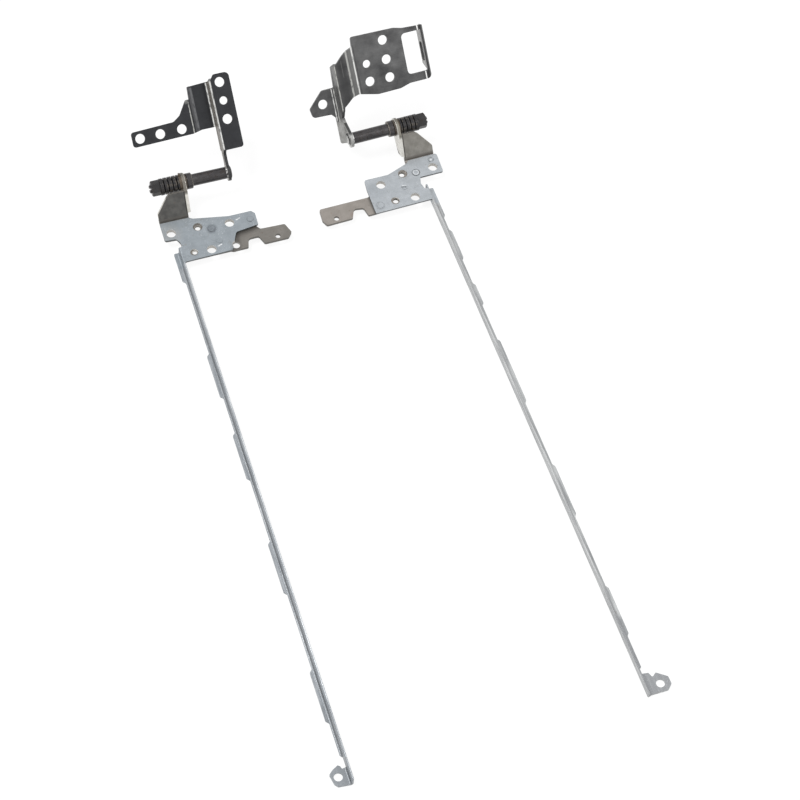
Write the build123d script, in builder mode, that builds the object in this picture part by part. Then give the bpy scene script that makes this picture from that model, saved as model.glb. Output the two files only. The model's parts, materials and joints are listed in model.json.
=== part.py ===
from build123d import *
import os
from math import cos, radians, sin

# A pair of laptop screen hinges, left and right, in millimetres.
# Each one is a lid plate with a long folded rail, a swivel bracket under that plate, a base
# bracket, and a riveted shaft with a stack of friction washers and disc springs between them.
# The pair lies on a bench with its lid plates level and the rails' flanges on z = 0.
# +X runs along the left shaft, +Y from the rails' feet to the shafts and +Z up, and the origin
# is under the middle of the pair.
# In a hinge's own frame, x = 0 is the inner face of the rail's web, y = 0 the front edge of the
# lid plate and z = 0 the bench.

# Sheet metal
lid_sheet = 0.7
bracket_sheet = 1.0
inside_bend = 0.6

# Where the two hinges lie
right_spacing = 89.69
right_set_back = 3.09
right_lay_angle = 2.27
left_opening = 142.0
right_opening = 134.0

# Rails
rail_height = 4.0
left_rail_reach = 198.5
right_rail_reach = 199.4
left_flange_width = 1.45
right_flange_width = 2.2
left_tab_width = 2.4
right_tab_width = 2.9
tab_slope = 1.0
flange_end_gap = 9.5
web_start = 6.4
foot_hole_radius = 1.45
left_foot_width = 6.5
left_foot_hole = (4.0, 3.5)
right_foot_width = 9.2
right_foot_corner = 2.1
right_foot_hole = (5.9, 3.3)

# Lid plates and their holes
left_bend_line = 18.4
right_bend_line = 18.7
plate_fold_gap = 0.8
lid_hole_radius = 1.65
small_lid_hole_radius = 1.35
arm_hole_radius = 0.9
rivet_radius = 0.8
rivet_head_radius = 1.1
rivet_head_rise = 0.12

# Swivel brackets: a wall that leans back from the plate, folded into an ear for the shaft
wall_lean = 60.0
wall_length = 9.4
axis_along_wall = 10.9
axis_behind_wall = 4.2
swivel_ear_radius = 3.3
left_swivel_ear_x = 6.1
right_swivel_ear_x = -4.4
sole_stub = 3.0

# Base brackets: plate levels are measured from the shaft's axis, square to the plates
left_top_level = 4.0
left_middle_level = -1.5
left_arm_level = -3.5
right_top_level = 1.5
right_middle_level = -0.5
right_tab_level = -4.5
left_base_ear_x = 22.3
right_base_ear_x = -21.3
base_ear_radius = 3.0
base_hole_radius = 1.7
small_base_hole_radius = 1.4
left_arm_reach = 6.9
left_step_x = 14.6
left_base_back = 34.0
left_base_front = 7.0
left_top_edge_x = 29.5
right_step_x = -16.3
right_base_back = 34.9
tab_bend = 1.85
lip_end = -1.8
lip_edge_x = -23.2
leaf_bend = 2.0
leaf_lean = 0.7
right_leaf_x = 13.2
right_leaf_depth = 6.5
right_leaf_back = 31.6
leaf_corner_back = 33.2
window_side = 4.0
window_start = 17.2
window_end = 31.8
window_lip = 0.8
slot_length = 7.0
slot_width = 2.2
slot_middle = 23.4
slot_rim = 0.7

# Shafts
shaft_radius = 2.1
collar_radius = 2.8
collar_length = 2.05
journal_radius = 1.7
journal_flat = 1.35
thread_radius = 1.45
rivet_tail_radius = 2.3
rivet_tail_length = 0.5
ear_bore_radius = 1.6
tip_length = 0.6
tip_notch_width = 0.6
tip_notch_depth = 0.5

# Friction stack
washer_radius = 2.85
inner_washer_thickness = 0.6
left_outer_washer_thickness = 1.0
right_outer_washer_thickness = 0.6
spring_count = 8
spring_radius = 2.95
spring_sheet = 0.55
spring_cone = 0.18
pressure_washer_thickness = 0.55
nut_across_flats = 4.8
nut_length = 3.05

# Clearances
running_slack = 0.05
rivet_slack = 0.02
running_gap = 0.05
spring_gap = 0.03

# Worked out from the sizes above
plate_under = rail_height - lid_sheet
bracket_under = plate_under - bracket_sheet
axis_rise = axis_along_wall * sin(radians(wall_lean)) - axis_behind_wall * cos(radians(wall_lean))
axis_set_back = axis_along_wall * cos(radians(wall_lean)) + axis_behind_wall * sin(radians(wall_lean))
axis_height = rail_height + axis_rise
ring_bore_radius = journal_radius + running_slack
spring_pitch = spring_sheet + spring_cone + spring_gap
spring_stack = spring_count * spring_pitch
left_back_edge = left_bend_line - plate_fold_gap
right_back_edge = right_bend_line - plate_fold_gap
half_sheet = bracket_sheet / 2
right_leaf_bottom = right_top_level - right_leaf_depth

# The origin is under the middle of the pair's box
lay = radians(right_lay_angle)
right_reach_x = right_spacing + right_foot_width * cos(lay)
right_reach_x += (right_rail_reach - right_foot_corner) * sin(lay)
right_base_tilt = radians(180 - right_opening)
leaf_corner_y = right_bend_line + axis_set_back
leaf_corner_y += right_leaf_back * cos(right_base_tilt) - right_leaf_bottom * sin(right_base_tilt)
back_reach_y = right_set_back + leaf_corner_y * cos(lay)
back_reach_y += (right_leaf_x - leaf_lean) * sin(lay)
middle_x = (right_reach_x - left_arm_reach) / 2
middle_y = (back_reach_y - left_rail_reach) / 2


class Hinge:
    """The places of one hinge's planes, from where it lies and how far it is open."""

    def __init__(self, x, y, lay_angle, outward, bend_line, opening):
        self.place = Location((x, y, 0), (0, 0, lay_angle))
        self.outward = outward
        self.bend_line = bend_line
        self.axis_y = bend_line + axis_set_back
        self.base_tilt = radians(180 - opening)

    def placed(self, origin, x_dir=(1, 0, 0), z_dir=(0, 0, 1)):
        """A plane given in the hinge's own frame, where the hinge lies."""
        return Plane(self.place * Plane(origin, x_dir, z_dir).location)

    def level(self, z):
        """The plane at one height, with x and y as in the hinge's own frame."""
        return self.placed((0, 0, z))

    def across(self, y):
        """The upright plane across the rail, with x and z in it, that looks towards -Y."""
        return self.placed((0, y, 0), (1, 0, 0), (0, -1, 0))

    def wall(self):
        """The front face of the leaning wall: x, then the way up from the plate's top."""
        lean = radians(wall_lean)
        return self.placed((0, self.bend_line, rail_height), (1, 0, 0), (0, -sin(lean), cos(lean)))

    def beside_wall(self, x):
        """The plane square to the shaft: the way behind the wall's front, then up the wall."""
        lean = radians(wall_lean)
        return self.placed((x, self.bend_line, rail_height), (0, sin(lean), -cos(lean)), (1, 0, 0))

    def base(self, level):
        """The plane of a base plate's face: x, then the way from the shaft's axis."""
        rise, run = sin(self.base_tilt), cos(self.base_tilt)
        origin = (0, self.axis_y - level * rise, axis_height + level * run)
        return self.placed(origin, (1, 0, 0), (0, -rise, run))

    def base_end(self, reach):
        """The plane square to the base plates at one distance from the axis: x, then level."""
        rise, run = sin(self.base_tilt), cos(self.base_tilt)
        origin = (0, self.axis_y + reach * run, axis_height + reach * rise)
        return self.placed(origin, (1, 0, 0), (0, -run, -rise))

    def round_shaft(self, x):
        """The plane square to the shaft on its axis: the way along the base, then level."""
        rise, run = sin(self.base_tilt), cos(self.base_tilt)
        return self.placed((x, self.axis_y, axis_height), (0, run, rise), (1, 0, 0))

    def along_shaft(self, x):
        """The plane through the shaft's axis, with the axis as its x from the given station."""
        return self.placed((x, self.axis_y, axis_height), (1, 0, 0), (0, 0, 1))

    def shaft_axis(self):
        """The line about which the shaft and the base bracket turn."""
        line = self.along_shaft(0)
        return Axis(line.origin, line.x_dir)


left = Hinge(-middle_x, -middle_y, 0, -1, left_bend_line, left_opening)
right = Hinge(
    right_spacing - middle_x,
    right_set_back - middle_y,
    right_lay_angle,
    1,
    right_bend_line,
    right_opening,
)


def rounded(corners):
    """A closed line through corners of x, y and corner radius."""
    points = [(x, y) for x, y, radius in corners]
    radii = [radius for x, y, radius in corners]
    return FilletPolyline(*points, radius=radii, close=True)


def rail_edge(reach, flange_width, tab_width, tabs, foot):
    """The rail's outline as corners of distance outward from the web's inner face, y, radius."""
    flange_end = flange_end_gap - reach
    edge = [(0, web_start, 0), (0, -reach, 0.3)]
    edge += [(out, up - reach, radius) for out, up, radius in foot]
    edge += [(lid_sheet, flange_end, 0.2), (flange_width, flange_end + tab_slope, 0.2)]
    for start, end in reversed(tabs):
        if end > flange_end + 3 * tab_slope and end < start:
            edge += [(flange_width, end - tab_slope, 0.3), (tab_width, end, 0.4)]
            edge += [(tab_width, min(start, web_start), 0.4)]
            if start < web_start:
                edge += [(flange_width, start + tab_slope, 0.3)]
    return edge


def make_rail(hinge, reach, flange_width, tab_width, tabs, foot, foot_hole, plate, holes, rivets):
    """The lid plate with its long rail: a web folded down, a flange folded out and a foot."""
    edge = rail_edge(reach, flange_width, tab_width, tabs, foot)
    widest = max(out for out, y, radius in edge)
    fold = inside_bend + lid_sheet / 2
    with BuildPart() as rail:
        # The folded angle, cut to the outline of its flange and foot
        with BuildSketch(hinge.across(-reach)):
            with BuildLine():
                FilletPolyline(
                    (hinge.outward * lid_sheet / 2, rail_height),
                    (hinge.outward * lid_sheet / 2, lid_sheet / 2),
                    (hinge.outward * (widest + tab_slope), lid_sheet / 2),
                    radius=fold,
                )
            trace(line_width=lid_sheet)
        extrude(amount=-(reach + web_start))
        with BuildSketch(hinge.level(0)):
            with BuildLine():
                rounded([(hinge.outward * out, y, radius) for out, y, radius in edge])
            make_face()
        extrude(amount=rail_height, mode=Mode.INTERSECT)
        # The flat lid plate, folded into the web along one edge
        with BuildSketch(hinge.level(plate_under)):
            with BuildLine():
                rounded(plate)
            make_face()
        extrude(amount=lid_sheet)
        web_face = hinge.level(rail_height).from_local_coords(Vector(hinge.outward * lid_sheet, 3, 0))
        fillet(rail.edges().sort_by_distance(web_face)[0], radius=0.85 * lid_sheet)
        with BuildSketch(hinge.level(plate_under)):
            for x, y, radius in holes:
                with Locations((x, y)):
                    Circle(radius)
            with Locations(*rivets):
                Circle(rivet_radius + rivet_slack)
        extrude(amount=lid_sheet, mode=Mode.SUBTRACT)
        # The screw hole in the foot
        with BuildSketch(hinge.level(0)):
            with Locations((hinge.outward * foot_hole[0], foot_hole[1] - reach)):
                Circle(foot_hole_radius)
        extrude(amount=lid_sheet, mode=Mode.SUBTRACT)
    return rail


def make_swivel_bracket(hinge, ear_x, fold_x, wall_side, wall, sole, holes, rivets):
    """The sheet under the lid plate, its leaning wall and the ear that carries the shaft."""
    lean = radians(wall_lean)
    far_edge = ear_x if wall_side > 0 else ear_x + bracket_sheet
    # In the plane beside the wall, the middle of the sole's sheet crosses the wall's middle here
    sole_level = -lid_sheet - bracket_sheet / 2
    knee = (sole_level + bracket_sheet / 2 * cos(lean)) / sin(lean)
    with BuildPart() as bracket:
        # The bend from the sole to the wall, cut to the wall's outline
        with BuildSketch(hinge.beside_wall(far_edge)):
            with BuildLine():
                FilletPolyline(
                    (bracket_sheet / 2 - sole_stub * sin(lean), knee - sole_stub * cos(lean)),
                    (bracket_sheet / 2, knee),
                    (bracket_sheet / 2, wall_length),
                    radius=inside_bend + bracket_sheet / 2,
                )
            trace(line_width=bracket_sheet)
        extrude(amount=fold_x - far_edge)
        with BuildSketch(hinge.wall()):
            with BuildLine():
                rounded(wall)
            make_face()
        extrude(amount=axis_behind_wall, both=True, mode=Mode.INTERSECT)
        # The ear, one flat sheet square to the shaft
        with BuildSketch(hinge.beside_wall(ear_x)):
            with BuildLine():
                Polyline((0, 1.2), (0, wall_length), (1.5, wall_length), (5.2, 3.6), (3.6, 1.2), close=True)
            make_face()
            with Locations((axis_behind_wall, axis_along_wall)):
                Circle(swivel_ear_radius)
            make_hull()
            with Locations((axis_behind_wall, axis_along_wall)):
                Circle(ring_bore_radius, mode=Mode.SUBTRACT)
        extrude(amount=bracket_sheet)
        # The sole
        with BuildSketch(hinge.level(bracket_under)):
            with BuildLine():
                rounded(sole)
            make_face()
        extrude(amount=bracket_sheet)
        with BuildSketch(hinge.level(bracket_under)):
            for x, y, radius in holes:
                with Locations((x, y)):
                    Circle(radius)
            with Locations(*rivets):
                Circle(rivet_radius + rivet_slack)
        extrude(amount=bracket_sheet, mode=Mode.SUBTRACT)
    return bracket


def make_rivets(hinge, rivets):
    """The flush rivets that hold the lid plate to the swivel bracket."""
    with BuildPart() as pins:
        with BuildSketch(hinge.level(bracket_under)):
            with Locations(*rivets):
                Circle(rivet_radius)
        extrude(amount=rail_height - bracket_under)
        with BuildSketch(hinge.level(rail_height), hinge.level(bracket_under - rivet_head_rise)):
            with Locations(*rivets):
                Circle(rivet_head_radius)
        extrude(amount=rivet_head_rise)
    return pins


def make_shaft(hinge, base_ear_x, collar_x, nut_end_x, nut_start_x, toward_nut):
    """The turned shaft: rivet tail, bore seat, barrel, collar, flatted journal and thread."""
    near_face = base_ear_x + bracket_sheet if toward_nut > 0 else base_ear_x
    far_face = base_ear_x if toward_nut > 0 else base_ear_x + bracket_sheet
    collar_start = collar_x - toward_nut * collar_length
    tail_end = far_face - toward_nut * rivet_tail_length
    tip = nut_end_x + toward_nut * tip_length
    with BuildPart() as shaft:
        with BuildSketch(hinge.along_shaft(0)):
            with BuildLine():
                Polyline(
                    (tail_end, 0),
                    (tail_end, rivet_tail_radius - 0.4),
                    (tail_end + toward_nut * 0.25, rivet_tail_radius),
                    (far_face, rivet_tail_radius),
                    (far_face, ear_bore_radius - rivet_slack),
                    (near_face, ear_bore_radius - rivet_slack),
                    (near_face, shaft_radius),
                    (collar_start, shaft_radius),
                    (collar_start, collar_radius - 0.2),
                    (collar_start + toward_nut * 0.2, collar_radius),
                    (collar_x - toward_nut * 0.2, collar_radius),
                    (collar_x, collar_radius - 0.2),
                    (collar_x, journal_radius),
                    (nut_start_x, journal_radius),
                    (nut_start_x, thread_radius),
                    (tip - toward_nut * 0.2, thread_radius),
                    (tip, thread_radius - 0.2),
                    (tip, 0),
                    close=True,
                )
            make_face()
        revolve(axis=hinge.shaft_axis())
        # Two flats key the springs and washers to the journal
        with BuildSketch(hinge.round_shaft(collar_x)):
            with Locations((0, journal_flat + journal_radius), (0, -journal_flat - journal_radius)):
                Rectangle(4 * journal_radius, 2 * journal_radius)
        extrude(amount=nut_start_x - collar_x, mode=Mode.SUBTRACT)
        # A cross notch where the tip is staked over the nut
        with BuildSketch(hinge.round_shaft(tip)):
            Rectangle(4 * thread_radius, tip_notch_width)
            Rectangle(tip_notch_width, 4 * thread_radius)
        extrude(amount=-toward_nut * tip_notch_depth, mode=Mode.SUBTRACT)
    return shaft


def make_ring(hinge, x, thickness, radius):
    """A flat friction washer with a round bore."""
    with BuildPart() as ring:
        with BuildSketch(hinge.round_shaft(x)):
            Circle(radius)
            Circle(ring_bore_radius, mode=Mode.SUBTRACT)
        extrude(amount=thickness)
    return ring


def make_pressure_washer(hinge, x):
    """The flat washer under the nut, keyed to the journal by its flatted bore."""
    with BuildPart() as washer:
        with BuildSketch(hinge.round_shaft(x)) as face:
            Circle(ring_bore_radius)
            Rectangle(4 * journal_radius, 2 * (journal_flat + running_slack), mode=Mode.INTERSECT)
        bore = face.sketch
        with BuildSketch(hinge.round_shaft(x)):
            Circle(spring_radius)
        extrude(amount=pressure_washer_thickness)
        extrude(bore, amount=pressure_washer_thickness, mode=Mode.SUBTRACT)
    return washer


def make_disc_spring(hinge, x, cone):
    """One disc spring from station x, dished by a signed cone height."""
    inner_x = x + max(-cone, 0)
    outer_x = x + max(cone, 0)
    with BuildPart() as spring:
        with BuildSketch(hinge.along_shaft(0)):
            with BuildLine():
                Polyline(
                    (inner_x, ring_bore_radius),
                    (outer_x, spring_radius),
                    (outer_x + spring_sheet, spring_radius),
                    (inner_x + spring_sheet, ring_bore_radius),
                    close=True,
                )
            make_face()
        revolve(axis=hinge.shaft_axis())
    return spring


def make_nut(hinge, x):
    """The lock nut, a chamfered hexagon."""
    with BuildPart() as nut:
        with BuildSketch(hinge.round_shaft(x)):
            RegularPolygon(nut_across_flats / 2, 6, major_radius=False)
        extrude(amount=nut_length)
        with BuildSketch(hinge.along_shaft(0)):
            with BuildLine():
                corner = nut_across_flats / 2 * 1.14
                Polyline(
                    (x, 0),
                    (x, nut_across_flats / 2),
                    (x + 0.25, corner),
                    (x + nut_length - 0.25, corner),
                    (x + nut_length, nut_across_flats / 2),
                    (x + nut_length, 0),
                    close=True,
                )
            make_face()
        revolve(axis=hinge.shaft_axis(), mode=Mode.INTERSECT)
        with BuildSketch(hinge.round_shaft(x)):
            Circle(thread_radius + running_slack)
        extrude(amount=nut_length, mode=Mode.SUBTRACT)
    return nut


os.makedirs("parts", exist_ok=True)


def write(piece, name):
    """Name one finished piece and write it."""
    piece.part.label = name
    export_step(piece.part, f"parts/{name}.step")


# Left rail and lid plate
left_web_x = -lid_sheet
left_tabs = [(7.1, -5.0), (-36.7, -52.8), (-68.8, -85.4), (-111.0, -129.0), (-158.6, -175.8)]
left_foot = [
    (4.9, 0.4, 0.4),
    (5.8, 1.5, 0.4),
    (left_foot_width, 4.9, 0.6),
    (5.1, 6.2, 0.4),
    (3.1, 7.3, 0.3),
    (2.4, 6.8, 0.2),
    (2.1, 5.8, 0.3),
    (lid_sheet, 6.0, 0.3),
]
left_plate = [
    (-4.4, left_back_edge, 0.5),
    (-4.5, 10.2, 0.5),
    (-0.6, 10.0, 0.4),
    (0.5, 8.2, 0.6),
    (0.5, web_start, 0.2),
    (left_web_x, web_start, 0),
    (left_web_x, -0.2, 0),
    (0.6, 0.2, 0.3),
    (17.1, 0.7, 0.8),
    (20.1, 7.5, 1.2),
    (28.3, 8.6, 0.3),
    (28.5, 13.4, 0.6),
    (27.4, 14.7, 0.5),
    (19.4, 14.6, 1.5),
    (7.2, 16.8, 1.2),
    (5.9, left_back_edge, 0.2),
]
left_lid_holes = [
    (-1.6, 12.8, lid_hole_radius),
    (7.9, 13.0, lid_hole_radius),
    (10.1, 2.8, lid_hole_radius),
    (18.9, 11.8, lid_hole_radius),
    (18.8, 2.7, small_lid_hole_radius),
    (4.0, 3.2, small_lid_hole_radius),
]
left_rivet_places = [(12.3, 11.0), (26.2, 11.5), (13.6, 5.6)]
left_rail = make_rail(
    left,
    left_rail_reach,
    left_flange_width,
    left_tab_width,
    left_tabs,
    left_foot,
    left_foot_hole,
    left_plate,
    left_lid_holes,
    left_rivet_places,
)
write(left_rail, "left_rail")

# Left swivel bracket
left_far_x = -4.6
left_ear_far_x = left_swivel_ear_x + bracket_sheet
left_wall = [
    (-4.1, -6.0, 0),
    (left_ear_far_x, -6.0, 0),
    (left_ear_far_x, wall_length, 0),
    (0.5, wall_length, 0.6),
    (-0.6, 8.3, 0.8),
    (-4.4, 2.7, 0.8),
]
left_sole = [
    (-4.1, left_bend_line - 1.2, 0),
    (-4.1, 10.7, 0.4),
    (-0.2, 10.5, 0.5),
    (1.0, 7.6, 0.5),
    (1.0, 0.9, 0.4),
    (16.5, 1.1, 0.5),
    (17.4, 0.7, 0.3),
    (22.7, 0.8, 0.5),
    (23.6, 4.2, 1.2),
    (27.3, 4.3, 1.0),
    (28.6, 0.9, 0.7),
    (37.1, 1.0, 0.8),
    (38.7, 3.0, 0.6),
    (37.3, 6.8, 0.8),
    (28.6, 7.05, 0.8),
    (27.7, 8.4, 0.4),
    (27.6, 13.8, 0.5),
    (19.2, 13.9, 1.5),
    (6.8, 15.9, 1.0),
    (left_swivel_ear_x - 0.1, left_bend_line - 1.2, 0),
]
left_sole_holes = [
    (-1.6, 12.8, lid_hole_radius),
    (7.9, 13.0, 1.1),
    (10.1, 2.8, lid_hole_radius),
    (18.9, 11.8, lid_hole_radius),
    (18.8, 2.7, small_lid_hole_radius),
    (4.3, 3.5, 0.9),
    (33.7, 2.6, arm_hole_radius),
]
left_swivel_bracket = make_swivel_bracket(
    left,
    left_swivel_ear_x,
    left_far_x,
    1,
    left_wall,
    left_sole,
    left_sole_holes,
    left_rivet_places,
)
write(left_swivel_bracket, "left_swivel_bracket")
write(make_rivets(left, left_rivet_places), "left_rivets")

# Left base bracket: an arm, a middle plate and a top plate folded from one sheet
left_step = left_middle_level - left_arm_level
left_plan_depth = left_top_level - left_arm_level + 2 * bracket_sheet
left_web_bottom = left_middle_level - bracket_sheet
with BuildPart() as left_base_bracket:
    with BuildSketch(left.base_end(left_base_back)):
        with BuildLine():
            FilletPolyline(
                (-left_arm_reach - 0.1, left_arm_level - half_sheet),
                (left_step_x, left_arm_level - half_sheet),
                (left_step_x + left_step, left_middle_level - half_sheet),
                (left_base_ear_x + half_sheet, left_middle_level - half_sheet),
                (left_base_ear_x + half_sheet, left_top_level - half_sheet),
                (left_top_edge_x, left_top_level - half_sheet),
                radius=inside_bend + half_sheet,
            )
        trace(line_width=bracket_sheet)
    extrude(amount=left_base_back - left_base_front)
    with BuildSketch(left.base(left_top_level)):
        with BuildLine():
            rounded(
                [
                    (-left_arm_reach, 14.8, 1.0),
                    (14.4, 15.3, 0),
                    (17.2, 16.1, 0.3),
                    (left_base_ear_x - 0.1, 16.1, 0),
                    (left_base_ear_x - 0.1, 7.7, 0),
                    (left_top_edge_x, 7.8, 1.0),
                    (left_top_edge_x, left_base_back, 1.6),
                    (24.2, left_base_back, 0.8),
                    (left_base_ear_x + 0.4, 31.9, 0.4),
                    (left_step_x + 0.8, 31.5, 0.3),
                    (left_step_x + 0.6, 27.2, 0),
                    (14.0, 27.2, 0.5),
                    (11.0, 22.4, 2.5),
                    (8.5, 20.7, 1.5),
                    (-left_arm_reach, 20.1, 1.0),
                ]
            )
        make_face()
    extrude(amount=-left_plan_depth, mode=Mode.INTERSECT)
    # The web runs on to the riveted ear
    with BuildSketch(left.round_shaft(left_base_ear_x)):
        with BuildLine():
            rounded(
                [
                    (17.0, left_top_level - 0.3, 0),
                    (17.0, left_web_bottom, 0),
                    (9.0, left_web_bottom + 0.7, 3.0),
                    (4.5, -1.4, 1.0),
                    (0, -2.2, 0),
                    (0, 2.2, 0),
                    (4.5, 1.5, 1.0),
                    (6.8, 1.9, 0.6),
                    (7.7, left_top_level - 0.3, 0),
                ]
            )
        make_face()
        Circle(base_ear_radius)
        Circle(ear_bore_radius, mode=Mode.SUBTRACT)
    extrude(amount=bracket_sheet)
    with BuildSketch(left.base(left_top_level)):
        with Locations((25.9, 31.0), (25.9, 18.1), (10.8, 17.7), (3.1, 17.6), (-4.1, 17.5)):
            Circle(base_hole_radius)
        with Locations((25.9, 24.55)):
            Circle(small_base_hole_radius)
    extrude(amount=-left_plan_depth, mode=Mode.SUBTRACT)
write(left_base_bracket, "left_base_bracket")

# Right rail and lid plate
right_tabs = [
    (7.0, -5.8),
    (-13.1, -24.4),
    (-36.5, -44.2),
    (-60.5, -85.1),
    (-111.9, -130.7),
    (-159.5, -176.5),
]
right_foot = [
    (1.8, 0.5, 0.4),
    (7.5, 0.4, 0.8),
    (right_foot_width, right_foot_corner, 0.6),
    (right_foot_width, 4.8, 0.8),
    (5.8, 7.3, 0.4),
    (4.3, 6.0, 0.4),
    (3.6, 7.9, 0.4),
    (lid_sheet, 8.3, 0.2),
]
right_plate = [
    (-2.4, right_back_edge, 0.4),
    (8.1, right_back_edge, 0.8),
    (7.8, 9.8, 0.7),
    (-0.8, 9.9, 0.5),
    (-1.5, 7.3, 0.8),
    (-1.0, 4.9, 0.5),
    (lid_sheet, 4.5, 0),
    (lid_sheet, -0.1, 0),
    (-20.7, -0.1, 0.4),
    (-20.5, 10.4, 1.0),
    (-20.0, 14.4, 0.7),
    (-11.3, 14.2, 2.5),
    (-3.6, 16.8, 1.0),
]
right_lid_holes = [
    (4.9, 12.7, lid_hole_radius),
    (-6.2, 13.1, lid_hole_radius),
    (-15.1, 10.9, lid_hole_radius),
    (-5.3, 2.5, lid_hole_radius),
    (-12.5, 3.0, 1.5),
]
right_rivet_places = [(-1.6, 12.2), (-7.4, 7.6), (-18.2, 2.6)]
right_rail = make_rail(
    right,
    right_rail_reach,
    right_flange_width,
    right_tab_width,
    right_tabs,
    right_foot,
    right_foot_hole,
    right_plate,
    right_lid_holes,
    right_rivet_places,
)
write(right_rail, "right_rail")

# Right swivel bracket
right_far_x = 7.6
right_wall = [
    (right_far_x - 0.3, -6.0, 0),
    (right_swivel_ear_x, -6.0, 0),
    (right_swivel_ear_x, wall_length, 0),
    (1.2, wall_length, 1.0),
    (2.7, 8.3, 1.0),
    (7.2, 2.8, 0.8),
]
right_sole = [
    (right_far_x - 0.3, right_bend_line - 1.2, 0),
    (right_far_x - 0.3, 10.5, 0.5),
    (-1.3, 10.5, 0.5),
    (-2.2, 7.4, 0.8),
    (-1.0, 4.0, 0.5),
    (-1.0, 0.9, 0.4),
    (-18.0, 1.0, 0.5),
    (-19.5, 0.5, 0.5),
    (-23.2, 0.4, 0.5),
    (-23.9, 3.9, 1.0),
    (-27.3, 4.5, 1.2),
    (-28.9, 0.9, 0.8),
    (-38.3, 0.8, 0.8),
    (-39.3, 3.0, 0.8),
    (-38.9, 7.8, 0.8),
    (-20.9, 7.6, 0.8),
    (-19.8, 8.6, 0.5),
    (-19.6, 13.6, 0.5),
    (-11.2, 13.3, 2.0),
    (-3.3, 16.0, 0.8),
    (right_swivel_ear_x + bracket_sheet + 0.1, right_bend_line - 1.2, 0),
]
right_sole_holes = [
    (4.9, 12.7, lid_hole_radius),
    (-6.4, 13.3, 1.1),
    (-15.1, 10.9, lid_hole_radius),
    (-5.3, 2.5, lid_hole_radius),
    (-12.2, 3.3, 1.1),
    (-34.3, 2.5, arm_hole_radius),
]
right_swivel_bracket = make_swivel_bracket(
    right,
    right_swivel_ear_x,
    right_far_x,
    -1,
    right_wall,
    right_sole,
    right_sole_holes,
    right_rivet_places,
)
write(right_swivel_bracket, "right_swivel_bracket")
write(make_rivets(right, right_rivet_places), "right_rivets")

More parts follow.
